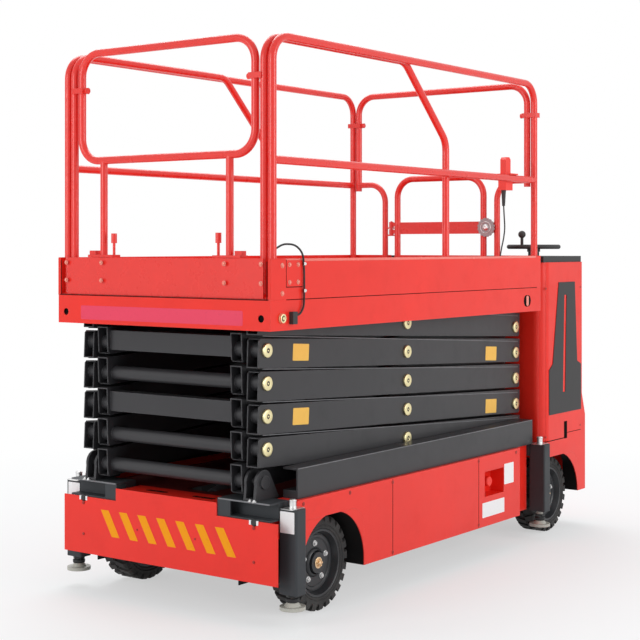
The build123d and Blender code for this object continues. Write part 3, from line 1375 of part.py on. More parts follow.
with BuildPart() as console_trim:
    box_between(
        (CONSOLE_NEAR_X + 4, -console_half + 4, CONSOLE_TOP_Z),
        (CONSOLE_FAR_X - 4, console_half - 4, CONSOLE_TOP_Z + CONSOLE_COVER),
    )
    rod_along_z(
        STEER_HUB_X,
        STEER_HUB_Y,
        CONSOLE_TOP_Z + CONSOLE_COVER - 1,
        STEER_RIM_Z - STEER_HUB_DROP - SEAT_GAP,
        STEER_COLUMN_DIAMETER,
    )
    # tapered trim with a slot on each side
    for trim_offset in (-console_half - TRIM_THICKNESS, console_half):
        with BuildSketch(Plane.XZ.offset(trim_offset)) as trim:
            with BuildLine():
                Polyline(
                    (TRIM_TOP_X[0], TRIM_TOP_Z),
                    (TRIM_TOP_X[1], TRIM_TOP_Z),
                    (TRIM_WAIST_X[1], TRIM_WAIST_Z),
                    (TRIM_FOOT_X[1], TRIM_SHOULDER_Z[1]),
                    (TRIM_FOOT_X[1], TRIM_FOOT_Z),
                    (TRIM_FOOT_X[0], TRIM_FOOT_Z),
                    (TRIM_FOOT_X[0], TRIM_SHOULDER_Z[0]),
                    (TRIM_WAIST_X[0], TRIM_WAIST_Z),
                    (TRIM_TOP_X[0], TRIM_TOP_Z),
                )
            make_face()
            with BuildLine():
                Polyline(
                    (TRIM_SLOT_LOW_X[0], TRIM_SLOT_Z[0]),
                    (TRIM_SLOT_TOP_X[0], TRIM_SLOT_Z[1]),
                    (TRIM_SLOT_TOP_X[1], TRIM_SLOT_Z[1]),
                    (TRIM_SLOT_LOW_X[1], TRIM_SLOT_Z[0]),
                    (TRIM_SLOT_LOW_X[0], TRIM_SLOT_Z[0]),
                )
            make_face(mode=Mode.SUBTRACT)
        extrude(trim.sketch, amount=TRIM_THICKNESS)
save(console_trim.part, "console_trim")

rim_reach = (STEER_RIM_DIAMETER - STEER_RIM_TUBE) / 2
with BuildPart() as steering_wheel:
    with Locations((STEER_HUB_X, STEER_HUB_Y, STEER_RIM_Z)):
        Torus(rim_reach, STEER_RIM_TUBE / 2)
    rod_along_z(STEER_HUB_X, STEER_HUB_Y, STEER_RIM_Z - STEER_HUB_DROP, STEER_RIM_Z + 8, STEER_HUB_DIAMETER)
    for turn in (90, 210, 330):
        middle = (
            STEER_HUB_X + rim_reach / 2 * cos(radians(turn)),
            STEER_HUB_Y + rim_reach / 2 * sin(radians(turn)),
        )
        with Locations(Location((*middle, STEER_RIM_Z - STEER_SPOKE_DROP), (0, 0, turn))):
            Box(rim_reach, *STEER_SPOKE)
    knob_x = STEER_HUB_X - STEER_KNOB_REACH
    rod_along_z(knob_x, STEER_HUB_Y, STEER_RIM_Z, STEER_RIM_Z + STEER_KNOB_HEIGHT, STEER_KNOB_STEM)
    with Locations((knob_x, STEER_HUB_Y, STEER_RIM_Z + STEER_KNOB_HEIGHT + 6)):
        Sphere(STEER_KNOB_DIAMETER / 2)
save(steering_wheel.part, "steering_wheel")
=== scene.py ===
import json
import logging
import math
from dataclasses import dataclass
from enum import Enum
from typing import Any, Callable, Iterable, Sequence

import bmesh
import bpy
from mathutils import Matrix, Vector


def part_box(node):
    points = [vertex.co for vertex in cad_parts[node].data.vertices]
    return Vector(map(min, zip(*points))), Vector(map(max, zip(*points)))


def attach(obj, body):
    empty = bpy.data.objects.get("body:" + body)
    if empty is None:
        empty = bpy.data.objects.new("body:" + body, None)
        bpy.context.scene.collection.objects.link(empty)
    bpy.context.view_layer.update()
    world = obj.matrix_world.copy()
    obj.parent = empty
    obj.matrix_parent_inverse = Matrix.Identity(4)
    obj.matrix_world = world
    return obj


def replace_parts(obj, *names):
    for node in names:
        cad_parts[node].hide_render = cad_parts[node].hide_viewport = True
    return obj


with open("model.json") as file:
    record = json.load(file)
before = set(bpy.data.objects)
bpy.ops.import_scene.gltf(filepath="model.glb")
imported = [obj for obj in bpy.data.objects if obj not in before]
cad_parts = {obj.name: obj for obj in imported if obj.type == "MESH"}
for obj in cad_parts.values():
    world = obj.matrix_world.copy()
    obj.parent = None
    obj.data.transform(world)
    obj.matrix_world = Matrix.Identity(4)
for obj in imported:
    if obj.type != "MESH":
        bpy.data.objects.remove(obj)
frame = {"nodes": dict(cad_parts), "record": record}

log = logging.getLogger("scissor_lift")

Colour = tuple[float, float, float]
Point = tuple[float, float, float]
Outline = Sequence[tuple[float, float]]
Patch = tuple[float, float, float, float, float, float]

END_ON = Vector((-1, 0, 0))
UP = Vector((0, 0, 1))
CHASSIS = "chassis"
PLATFORM = "platform"


class Side(Enum):
    """A side of the machine, by its sign along Y."""

    LEFT = 1
    RIGHT = -1

    @property
    def label(self) -> str:
        """The side's word in the names of nodes and bodies."""
        return self.name.lower()

    @property
    def out(self) -> Vector:
        """Direction that points out of the machine."""
        return Vector((0, self.value, 0))


class Axle(Enum):
    """An axle, by its word in the names of nodes and bodies."""

    FRONT = "front"
    STEER = "steer"


def put(name: str, data: bpy.types.ID) -> bpy.types.Object:
    """A new object of the scene for a mesh, curve, camera or lamp."""
    thing = bpy.data.objects.new(name, data)
    bpy.context.scene.collection.objects.link(thing)
    return thing


# ---- shader graphs ---------------------------------------------------------
def math_method(operation: str, swapped: bool = False) -> Callable[["Value", "Value | float"], "Value"]:
    """A method that adds one Math node over a value and another term."""

    def method(first: "Value", second: "Value | float") -> "Value":
        """The result of the node."""
        terms = (second, first) if swapped else (first, second)
        node = first.graph.node("ShaderNodeMath", {"operation": operation}, dict(enumerate(terms)))
        return Value(first.graph, node.outputs[0])

    return method


@dataclass(frozen=True)
class Value:
    """A number that varies over a surface; its operators add Math nodes.

    most() is the larger of two values, and fold() the distance to the nearest multiple of twice
    a width, a triangle wave.
    """

    graph: "Graph"
    socket: bpy.types.NodeSocket

    __add__ = __radd__ = math_method("ADD")
    __sub__ = math_method("SUBTRACT")
    __rsub__ = math_method("SUBTRACT", swapped=True)
    __mul__ = __rmul__ = math_method("MULTIPLY")
    __pow__ = math_method("POWER")
    most = math_method("MAXIMUM")
    fold = math_method("PINGPONG")


class Graph:
    """The nodes of one material or world, each added with its settings and inputs."""

    def __init__(self, owner: bpy.types.Material | bpy.types.World) -> None:
        """Start an empty node tree.

        Args:
            owner: The material or world that holds the tree.
        """
        owner.use_nodes = True
        self.tree = owner.node_tree
        self.tree.nodes.clear()
        kind = "World" if isinstance(owner, bpy.types.World) else "Material"
        self.output = self.node(f"ShaderNodeOutput{kind}")

    def finish(self, shader: bpy.types.Node) -> None:
        """Send a shader to the surface output."""
        self.feed(self.output.inputs["Surface"], shader.outputs[0])

    def principled(self) -> None:
        """Add the principled shader that set() feeds."""
        self.shader = self.node("ShaderNodeBsdfPrincipled")
        self.finish(self.shader)

    def node(
        self, kind: str, settings: dict[str, Any] | None = None, inputs: dict[Any, Any] | None = None
    ) -> bpy.types.Node:
        """Add a node of any type.

        Args:
            kind: Blender's name of the node type.
            settings: Node properties, set first.
            inputs: Sockets by name or number, each with a value or a link.

        Returns:
            The new node.
        """
        node = self.tree.nodes.new(kind)
        for key, setting in (settings or {}).items():
            setattr(node, key, setting)
        for key, given in (inputs or {}).items():
            self.feed(node.inputs[key], given)
        return node

    def feed(self, socket: bpy.types.NodeSocket, given: Any) -> None:
        """Set a socket's own number or colour, or link a value into it."""
        source = given.socket if isinstance(given, Value) else given
        if isinstance(source, bpy.types.NodeSocket):
            self.tree.links.new(source, socket)
        else:
            socket.default_value = (*source, 1) if socket.type == "RGBA" else source

    def set(self, **inputs: Any) -> None:
        """Feed sockets of the principled shader, with _ for a space in their names."""
        for key, given in inputs.items():
            self.feed(self.shader.inputs[key.replace("_", " ")], given)

    def place(self) -> bpy.types.NodeSocket:
        """Position in the piece's own space, which moves with the piece."""
        return self.node("ShaderNodeTexCoord").outputs["Object"]

    def axes(self) -> tuple[Value, Value, Value]:
        """The three coordinates of the position, in metres."""
        parts = self.node("ShaderNodeSeparateXYZ", {}, {0: self.place()})
        return tuple(Value(self, part) for part in parts.outputs)

    def noise(self, scale: float, detail: float = 3, rough: float = 0.5, stretch: Point = (1, 1, 1)) -> Value:
        """Noise from 0 to 1 over the position.

        Args:
            scale: Cells a metre.
            detail: Octaves.
            rough: How much the small octaves count.
            stretch: Factors on X, Y and Z before the noise.

        Returns:
            The noise's value.
        """
        moved = self.node("ShaderNodeMapping", {}, {"Vector": self.place(), "Scale": stretch})
        inputs = {"Vector": moved.outputs[0], "Scale": scale, "Detail": detail, "Roughness": rough}
        return Value(self, self.node("ShaderNodeTexNoise", {}, inputs).outputs["Fac"])

    def cloud(self, scale: float, low: float, high: float, detail: float = 4, rough: float = 0.5) -> Value:
        """Soft patches of 1 on 0: noise stretched between two of its levels."""
        return self.ramp(self.noise(scale, detail, rough), low, high)

    def ramp(self, value: Value, low: float, high: float) -> Value:
        """The value stretched so that low gives 0 and high gives 1, and held there."""
        inputs = {"Value": value, "From Min": low, "From Max": high, "To Min": 0.0, "To Max": 1.0}
        return Value(self, self.node("ShaderNodeMapRange", {"clamp": True}, inputs).outputs[0])

    def blend(self, share: Value, first: Any, second: Any) -> bpy.types.NodeSocket:
        """Colour between two, by a share from 0 to 1."""
        return self.node("ShaderNodeMix", {"data_type": "RGBA"}, {"Factor": share, 6: first, 7: second}).outputs[2]

    def rounded(self, radius: float) -> bpy.types.NodeSocket:
        """Normal that rounds every edge by a radius in metres."""
        return self.node("ShaderNodeBevel", {"samples": 4}, {"Radius": radius}).outputs[0]

    def relief(self, height: Value, depth: float, strength: float, radius: float = 0.0) -> None:
        """Feed the shader's normal with a relief over rounded edges.

        Args:
            height: Relief from 0 to 1.
            depth: Height of 1 in metres.
            strength: Share of the relief that shows.
            radius: Edge radius in metres, or 0 for none.
        """
        inputs = {"Height": height, "Distance": depth, "Strength": strength}
        if radius:
            inputs["Normal"] = self.rounded(radius)
        self.set(Normal=self.node("ShaderNodeBump", {}, inputs).outputs[0])

    def edges(self, radius: float) -> Value:
        """1 along sharp edges within a radius in metres, 0 on flat faces."""
        flat = self.node("ShaderNodeNewGeometry").outputs["Normal"]
        dot = self.node("ShaderNodeVectorMath", {"operation": "DOT_PRODUCT"}, {0: self.rounded(radius), 1: flat})
        return self.ramp(1 - Value(self, dot.outputs["Value"]), 0.01, 0.16)


# ---- finishes --------------------------------------------------------------
def scaled(colour: Colour, factor: float) -> Colour:
    """A colour made darker or lighter."""
    return tuple(part * factor for part in colour)


@dataclass(frozen=True)
class Finish:
    """A surface finish; each kind builds its material once."""

    name: str
    slot: str
    colour: Colour

    def material(self) -> bpy.types.Material:
        """The finish's material, built the first time that it is asked for."""
        if self.name not in bpy.data.materials:
            graph = Graph(bpy.data.materials.new(self.name))
            graph.principled()
            self.paint(graph)
        return bpy.data.materials[self.name]

    def paint(self, graph: Graph) -> None:
        """Lay the finish out in a new graph."""
        raise NotImplementedError


@dataclass(frozen=True)
class Coating(Finish):
    """Sprayed or powder-coated steel: faint orange peel, wandering tone, rubbed edges."""

    rough: float = 0.36
    clear: float = 0.10
    shine: float = 0.30
    peel: float = 0.25
    tone: float = 0.10
    edge: float = 0.0022
    rub: float = 0.35
    rubbed: Colour = (0.9, 0.3, 0.25)

    def paint(self, graph: Graph) -> None:
        """Lay the finish out in a new graph."""
        drift = graph.cloud(2.6, 0.3, 0.75, rough=0.6)
        grime = graph.cloud(9, 0.52, 0.78, detail=6, rough=0.65)
        base = graph.blend(drift, self.colour, scaled(self.colour, 1 - self.tone))
        base = graph.blend(grime * 0.5, base, scaled(self.colour, 1 - 1.6 * self.tone))
        worn = graph.edges(self.edge * 1.3) * graph.cloud(38, 0.42, 0.62, rough=0.7) * self.rub
        base = graph.blend(worn, base, self.rubbed)
        gloss = graph.noise(14, 4) * 0.16 + (self.rough - 0.08) + grime * 0.10
        graph.set(Base_Color=base, Roughness=gloss)
        graph.set(Coat_Weight=self.clear, Coat_Roughness=0.15, Specular_IOR_Level=self.shine)
        graph.relief(graph.noise(310, 2), 0.0004, self.peel, self.edge)


@dataclass(frozen=True)
class Rubber(Finish):
    """Solid tyre rubber, matt and a little dusty in its hollows."""

    dust: Colour = (0.16, 0.15, 0.14)
    dusty: float = 0.35

    def paint(self, graph: Graph) -> None:
        """Lay the finish out in a new graph."""
        grain = graph.noise(160, 5, 0.6)
        cloud = graph.cloud(7, 0.45, 0.8, detail=5, rough=0.65)
        base = graph.blend(cloud * self.dusty, self.colour, self.dust)
        graph.set(Base_Color=base, Roughness=grain * 0.2 + 0.62, Specular_IOR_Level=0.35)
        graph.relief(grain, 0.0008, 0.35, 0.002)


@dataclass(frozen=True)
class Metal(Finish):
    """Bare, plated or polished metal with fine turning marks."""

    rough: float = 0.3
    marks: float = 0.15
    stain: Colour = (0.4, 0.36, 0.3)
    stained: float = 0.2

    def paint(self, graph: Graph) -> None:
        """Lay the finish out in a new graph."""
        marks = graph.noise(420, 2, stretch=(1, 1, 6))
        cloud = graph.cloud(60, 0.5, 0.8, rough=0.6)
        graph.set(
            Base_Color=graph.blend(cloud * self.stained, self.colour, self.stain),
            Metallic=1 - cloud * (0.5 * self.stained),
            Roughness=marks * self.marks + self.rough,
        )
        graph.relief(marks, 0.0002, 0.2, 0.0008)


@dataclass(frozen=True)
class Plastic(Finish):
    """Moulded plastic with a fine spark-eroded texture."""

    rough: float = 0.5
    shine: float = 0.45
    grain: float = 0.3
    edge: float = 0.002

    def paint(self, graph: Graph) -> None:
        """Lay the finish out in a new graph."""
        grain = graph.noise(900, 3, 0.6)
        cloud = graph.cloud(12, 0.4, 0.8)
        paler = tuple(min(1.0, part * 1.25 + 0.004) for part in self.colour)
        graph.set(
            Base_Color=graph.blend(cloud * 0.5, self.colour, paler),
            Roughness=grain * 0.12 + self.rough + cloud * 0.05,
            Specular_IOR_Level=self.shine,
        )
        graph.relief(grain, 0.0003, self.grain, self.edge)


@dataclass(frozen=True)
class Film(Finish):
    """Plain adhesive film, scuffed in places."""

    rough: float = 0.4
    shine: float = 0.4

    def paint(self, graph: Graph) -> None:
        """Lay the finish out in a new graph."""
        scuff = graph.cloud(70, 0.55, 0.75, detail=5, rough=0.7)
        graph.set(
            Base_Color=graph.blend(scuff * 0.5, self.colour, scaled(self.colour, 0.82)),
            Roughness=graph.noise(240, 2) * 0.1 + self.rough,
            Specular_IOR_Level=self.shine,
        )
        graph.relief(graph.noise(120, 2), 0.0002, 0.15)


@dataclass(frozen=True)
class Tread(Coating):
    """Painted chequer plate: short raised bars, turned by turns, on a worn walkway."""

    pitch: float = 0.030
    slender: float = 3.5

    def paint(self, graph: Graph) -> None:
        """Lay the finish out in a new graph."""
        super().paint(graph)
        along, across, _ = graph.axes()
        bars = []
        for shift, long_axis, short_axis in ((0.0, along, across), (self.pitch, across, along)):
            far = (long_axis + shift).fold(self.pitch)
            near = (short_axis + self.pitch / 2 + shift).fold(self.pitch)
            bars.append(graph.ramp((far + near * self.slender) * (1 / self.pitch), 1.15, 0.85))
        lifted = bars[0].most(bars[1])
        worn = lifted * graph.cloud(24, 0.35, 0.65, rough=0.7) * 0.6
        coat = graph.shader.inputs["Base Color"].links[0].from_socket
        graph.set(Base_Color=graph.blend(worn, coat, self.rubbed))
        graph.relief(lifted + graph.noise(300, 2) * 0.05, 0.0016, 0.9, self.edge)


RED = Coating("red_powder_coat", "red_paint", (0.90, 0.026, 0.014), clear=0.12, rubbed=(0.98, 0.20, 0.14))
RED_RAIL = Coating("red_rail_coat", "red_paint", (0.86, 0.028, 0.018), rough=0.28, clear=0.25, shine=0.45, rub=0.12)
# Painted shade: the panel red darkened for the small sunk screw heads.
SHADED_SCREW_RED = Coating("shaded_screw_coat", "red_paint", (0.38, 0.016, 0.010), rough=0.4, rub=0.2)
# Painted highlight: a paler, pinker red with pale rims for the glint on small red bolt heads and keys.
BOLT_HIGHLIGHT_RED = Coating(
    "red_bolt_highlight_coat", "red_paint", (0.92, 0.22, 0.15),
    rough=0.22, clear=0.5, shine=0.6, rub=0.6, rubbed=(0.95, 0.75, 0.6),
)
# Painted shadow: near-black red for the shadow in the gaps round the recessed toe boards.
JOINT_SHADOW_RED = Coating("red_joint_shadow", "red_paint", (0.10, 0.004, 0.003), rough=0.7, clear=0.0, shine=0.1, rub=0.0)
# Painted highlight: a pale pink red for the lit top edge of the side toe boards.
HEM_HIGHLIGHT_RED = Coating(
    "rolled_hem_highlight_coat", "red_paint", (0.93, 0.16, 0.12),
    rough=0.25, clear=0.4, shine=0.6, rub=0.5, rubbed=(0.98, 0.45, 0.38),
)
RED_DECK = Tread("red_deck_coat", "red_paint", (0.70, 0.03, 0.02), rough=0.42, rubbed=(0.55, 0.42, 0.40))
CHARCOAL = Coating(
    "charcoal_coat", "black_paint", (0.036, 0.035, 0.038),
    rough=0.4, tone=0.14, edge=0.005, rub=0.55, rubbed=(0.17, 0.17, 0.18),
)
LEG_BLACK = Coating(
    "leg_black_coat", "black_paint", (0.046, 0.050, 0.055), rough=0.46, clear=0.0, shine=0.2, rubbed=(0.16, 0.16, 0.16)
)
# Painted highlight: pale grey strips along the lit top corners of the arms, base rails and cross beams.
EDGE_HIGHLIGHT = Coating(
    "painted_edge_highlight", "black_paint", (0.20, 0.20, 0.21), rough=0.45, clear=0.0, tone=0.35, rubbed=(0.4, 0.4, 0.4)
)
# Painted shade: near-black for the shaded bay walls and the sheets that line the wheel arches.
SHADE_BLACK = Coating(
    "painted_shade_black", "axle_paint", (0.010, 0.009, 0.009), rough=0.6, clear=0.0, shine=0.12, rubbed=(0.05, 0.05, 0.05)
)
# Painted shade: the sunken deck's red darkened to the shade that it lies in.
SHADED_DECK_RED = Coating(
    "shaded_deck_coat", "axle_paint", (0.085, 0.010, 0.009), rough=0.6, clear=0.0, shine=0.12, rubbed=(0.12, 0.03, 0.03)
)
AXLE = Coating(
    "axle_coat", "axle_paint", (0.020, 0.020, 0.021), rough=0.5, clear=0.05, tone=0.25, rubbed=(0.1, 0.1, 0.1)
)
RIM = Coating("rim_coat", "rim_black", (0.024, 0.025, 0.028), rough=0.33, clear=0.2, rubbed=(0.16, 0.16, 0.17))
TRAY = Coating("tray_coat", "power_pack_case", (0.028, 0.028, 0.030), rough=0.5, clear=0.0, tone=0.3)
FOOT = Coating(
    "foot_zinc_coat", "foot_steel", (0.50, 0.49, 0.43),
    rough=0.34, clear=0.1, shine=0.6, tone=0.22, rubbed=(0.75, 0.74, 0.7),
)
BRASSY = Metal("gilt_castle_nut", "foot_steel", (0.86, 0.62, 0.38), rough=0.22, stain=(0.30, 0.14, 0.07), stained=0.7)
CHROME = Metal("hard_chrome", "chrome_rod", (0.80, 0.81, 0.83), rough=0.07, marks=0.05, stained=0.0)
ZINC = Metal("yellow_zinc", "chrome_rod", (0.80, 0.72, 0.42), stain=(0.45, 0.30, 0.12), stained=0.45)
STEEL = Metal("bright_steel", "foot_steel", (0.70, 0.70, 0.70), rough=0.28)
TYRE = Rubber("solid_tyre", "tyre_rubber", (0.026, 0.025, 0.025))
BLACK = Plastic("black_plastic", "black_plastic", (0.018, 0.018, 0.020))
TRIM = Plastic("console_trim_plastic", "black_plastic", (0.026, 0.025, 0.026))
HOSE = Plastic("hose_rubber", "black_plastic", (0.012, 0.012, 0.013), rough=0.55)
DARK = Plastic("shadow_gap", "black_plastic", (0.005, 0.005, 0.005), rough=0.8, shine=0.05)
DISC = Plastic("grey_latch_moulding", "foot_steel", (0.36, 0.36, 0.37), rough=0.4)
RED_CASE = Plastic("red_moulding", "red_plastic", (0.90, 0.035, 0.020), rough=0.3, grain=0.1)
STRIPE = Film("orange_stripe_film", "red_paint", (0.93, 0.345, 0.008), rough=0.6, shine=0.15)
MAGENTA = Film("crimson_band_film", "red_paint", (0.80, 0.045, 0.105))
YELLOW = Film("yellow_label_film", "red_paint", (0.90, 0.52, 0.10), shine=0.25)
WHITE = Film("white_label_film", "red_paint", (0.92, 0.92, 0.92))


# ---- shapes ----------------------------------------------------------------
def facing(origin: Sequence[float], out: Vector, up: Vector = UP) -> Matrix:
    """Placement whose Z looks out and whose Y leans to up.

    Args:
        origin: Its origin, in metres.
        out: Direction of its local Z.
        up: Direction that its local Y leans to.

    Returns:
        The placement matrix.
    """
    z_axis = out.normalized()
    x_axis = up.cross(z_axis)
    if x_axis.length < 1e-6:
        x_axis = Vector((1, 0, 0))
    x_axis.normalize()
    y_axis = z_axis.cross(x_axis)
    turned = Matrix((x_axis, y_axis, z_axis)).transposed().to_4x4()
    return Matrix.Translation(origin) @ turned


def moved(x: float, y: float, z: float) -> Matrix:
    """Placement moved within another one."""
    return Matrix.Translation((x, y, z))


def spun(degrees: float, axis: str = "Z") -> Matrix:
    """Placement turned within another one."""
    return Matrix.Rotation(math.radians(degrees), 4, axis)


def circle(radius: float, steps: int) -> list[tuple[float, float]]:
    """Corners of a regular polygon, counter-clockwise from local X."""
    angles = (2 * math.pi * i / steps for i in range(steps))
    return [(radius * math.cos(a), radius * math.sin(a)) for a in angles]


def arc(
    x: float, y: float, radius: float, start: float, sweep: float = 90.0, steps: int = 5
) -> list[tuple[float, float]]:
    """Points on an arc from a start angle, in degrees."""
    angles = (math.radians(start + sweep * i / (steps - 1)) for i in range(steps))
    return [(x + radius * math.cos(a), y + radius * math.sin(a)) for a in angles]


def hexagon(across: float) -> list[tuple[float, float]]:
    """Corners of a hexagon of a size across its flats."""
    return circle(across / math.sqrt(3), 6)


def rounded(width: float, height: float, corner: float = 0.0) -> list[tuple[float, float]]:
    """Outline of a rectangle with round corners, centred on the origin."""
    x, y = width / 2 - corner, height / 2 - corner
    spots = ((x, -y, -90), (x, y, 0), (-x, y, 90), (-x, -y, 180))
    if not corner:
        return [spot[:2] for spot in spots]
    return [point for spot in spots for point in arc(spot[0], spot[1], corner, spot[2])]


class Shape:
    """A mesh under construction, made of many small parts in the shared frame."""

    def __init__(self) -> None:
        """Start with an empty mesh."""
        self.mesh = bmesh.new()

    def ring(self, points: Iterable[Sequence[float]], place: Matrix) -> list[bmesh.types.BMVert]:
        """Corners at local points, without faces yet."""
        return [self.mesh.verts.new(place @ Vector(point)) for point in points]

    def skin(self, lower: Sequence[bmesh.types.BMVert], upper: Sequence[bmesh.types.BMVert]) -> None:
        """Faces between two rings; either of them may be a single corner."""
        count = max(len(lower), len(upper))
        for i in range(count):
            corners = [lower[i % len(lower)], lower[(i + 1) % len(lower)]]
            corners += [upper[(i + 1) % len(upper)], upper[i % len(upper)]]
            unique = list(dict.fromkeys(corners))
            if len(unique) > 2:
                self.mesh.faces.new(unique)

    def cap(self, *rings: Sequence[bmesh.types.BMVert]) -> None:
        """Close the first and the last ring, unless they are single corners."""
        for ring in (rings[0][::-1], rings[-1]):
            if len(ring) > 1:
                self.mesh.faces.new(ring)

    def prism(self, outline: Outline, low: float, high: float, place: Matrix) -> "Shape":
        """Extrude a closed outline along local Z.

        Args:
            outline: Corners in the local XY plane.
            low: Local Z of one end.
            high: Local Z of the other end.
            place: Placement of the local frame.

        Returns:
            This shape.
        """
        rings = [self.ring([(x, y, z) for x, y in outline], place) for z in (low, high)]
        self.skin(*rings)
        self.cap(*rings)
        return self

    def box(self, low: Sequence[float], high: Sequence[float]) -> "Shape":
        """Upright box between two opposite corners."""
        outline = ((low[0], low[1]), (high[0], low[1]), (high[0], high[1]), (low[0], high[1]))
        return self.prism(outline, low[2], high[2], Matrix.Identity(4))

    def plate(self, width: float, height: float, thick: float, place: Matrix, corner: float = 0.0) -> "Shape":
        """Plate centred on the placement, standing out by its thickness.

        Args:
            width: Size along local X.
            height: Size along local Y.
            thick: How far it stands out along local Z.
            place: Placement of its back's middle.
            corner: Radius of its corners.

        Returns:
            This shape.
        """
        return self.prism(rounded(width, height, corner), 0.0, thick, place)

    def turned(self, profile: Outline, place: Matrix, steps: int = 24, hollow: bool = False) -> "Shape":
        """Turn a profile about local Z.

        Args:
            profile: Radius and height pairs from one end to the other.
            place: Placement of the axis.
            steps: Flats round the turn.
            hollow: Join the profile's ends, for a ring, where it would else be capped.

        Returns:
            This shape.
        """
        rings = []
        for radius, height in profile:
            points = [(x, y, height) for x, y in circle(radius, steps if radius else 1)]
            rings.append(self.ring(points, place))
        for lower, upper in zip(rings, rings[1:] + rings[:1] if hollow else rings[1:]):
            self.skin(lower, upper)
        if not hollow:
            self.cap(*rings)
        return self

    def bolt(self, across: float, place: Matrix, washer: float = 1.7) -> "Shape":
        """Hexagon bolt head on its washer, with the shank's end showing in the middle.

        Args:
            across: Size across the flats.
            place: Placement on the surface, Z out.
            washer: Washer diameter as a share of the size across flats.

        Returns:
            This shape.
        """
        thin, tall = across * 0.12, across * 0.42
        rim = across * washer / 2
        self.turned(((rim, 0), (rim, thin * 0.8), (rim * 0.96, thin), (0, thin)), place, 20)
        seat = place @ moved(0, 0, thin)
        self.prism(hexagon(across), 0, tall * 0.82, seat)
        self.prism(hexagon(across * 0.86), tall * 0.80, tall, seat)
        dome = ((0.24, 0.41), (0.24, 0.53), (0.18, 0.59), (0, 0.59))
        return self.turned([(across * r, across * h) for r, h in dome], seat, 12)

    def button(self, radius: float, place: Matrix) -> "Shape":
        """Low round screw head with a socket."""
        profile = ((1, 0), (0.94, 0.33), (0.6, 0.55), (0.35, 0.55), (0, 0.1925))
        return self.turned([(radius * r, radius * h) for r, h in profile], place, 16)

    def patches(self, rows: Iterable[Patch], y: float, sides: Iterable[Side] = Side) -> "Shape":
        """Plates on the machine's flat sides.

        Args:
            rows: Each plate's width, height, thickness, X and Z of its middle, and corner radius.
            y: How far out its back is.
            sides: The sides that carry it.

        Returns:
            This shape.
        """
        for width, height, thick, x, z, corner in rows:
            for side in sides:
                self.plate(width, height, thick, facing((x, side.value * y, z), side.out), corner)
        return self

    def heads(self, profile: Outline, spots: Outline, y: float, steps: int) -> "Shape":
        """The same turned head at X and Z pairs on both of the machine's sides.

        Args:
            profile: Radius and height pairs, from its back.
            spots: X and Z of each head.
            y: How far out its back is.
            steps: Flats round the turn.

        Returns:
            This shape.
        """
        for x, z in spots:
            for side in Side:
                self.turned(profile, facing((x, side.value * y, z), side.out), steps)
        return self

    def build(self, name: str, finish: Finish, body: str, soften: float = 0.0) -> bpy.types.Object:
        """Turn the mesh into a piece that rides on a body.

        Args:
            name: Name of the piece.
            finish: Its finish.
            body: The body that it moves with.
            soften: Bevel width in metres, or 0 for none.

        Returns:
            The new piece.
        """
        bmesh.ops.recalc_face_normals(self.mesh, faces=self.mesh.faces[:])
        data = bpy.data.meshes.new(name)
        self.mesh.to_mesh(data)
        self.mesh.free()
        for polygon in data.polygons:
            polygon.use_smooth = True
        data.set_sharp_from_angle(angle=math.radians(35))
        piece = put(name, data)
        data.materials.append(finish.material())
        if soften:
            bevel = piece.modifiers.new("softened", "BEVEL")
            bevel.width = soften
            bevel.segments = 2
            bevel.limit_method = "ANGLE"
            bevel.angle_limit = math.radians(40)
        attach(piece, body)
        log.info("%s on %s, %d faces", name, body, len(data.polygons))
        return piece


# ---- places read from the frame --------------------------------------------
@dataclass(frozen=True)
class Extent:
    """Lowest and highest corner of a node of the frame."""

    low: Vector
    high: Vector

    @classmethod
    def of(cls, node: str) -> "Extent":
        """The extent of a node at rest."""
        low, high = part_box(node)
        return cls(Vector(low), Vector(high))

    @property
    def middle(self) -> Vector:
        """The middle of the extent."""
        return (self.low + self.high) / 2


def joint_place(name: str) -> Vector:
    """Where a joint turns, from the frame's record."""
    joints = frame["record"]["behaviour"]["joints"]
    return Vector(next(joint["pos_m"] for joint in joints if joint["name"] == name))


def dress(finish: Finish, *nodes: str) -> None:
    """Give nodes of the frame a finish, and smooth shading on their round faces."""
    for node in nodes:
        piece = frame["nodes"][node]
        piece.data.materials.clear()
        piece.data.materials.append(finish.material())
        piece.data.set_sharp_from_angle(angle=math.radians(30))
        log.info("%s dressed in %s", node, finish.name)


# ---- studio ----------------------------------------------------------------
@dataclass(frozen=True)
class SoftLamp:
    """One large square lamp that looks at the machine."""

    name: str
    place: Point
    target: Point
    size: float
    power: float

    def build(self) -> None:
        """Hang the lamp."""
        lamp = bpy.data.lights.new(self.name, "AREA")
        lamp.shape = "SQUARE"
        lamp.size = self.size
        lamp.energy = self.power
        holder = put(self.name, lamp)
        holder.location = self.place
        aim = Vector(self.target) - Vector(self.place)
        holder.rotation_euler = aim.to_track_quat("-Z", "Y").to_euler()


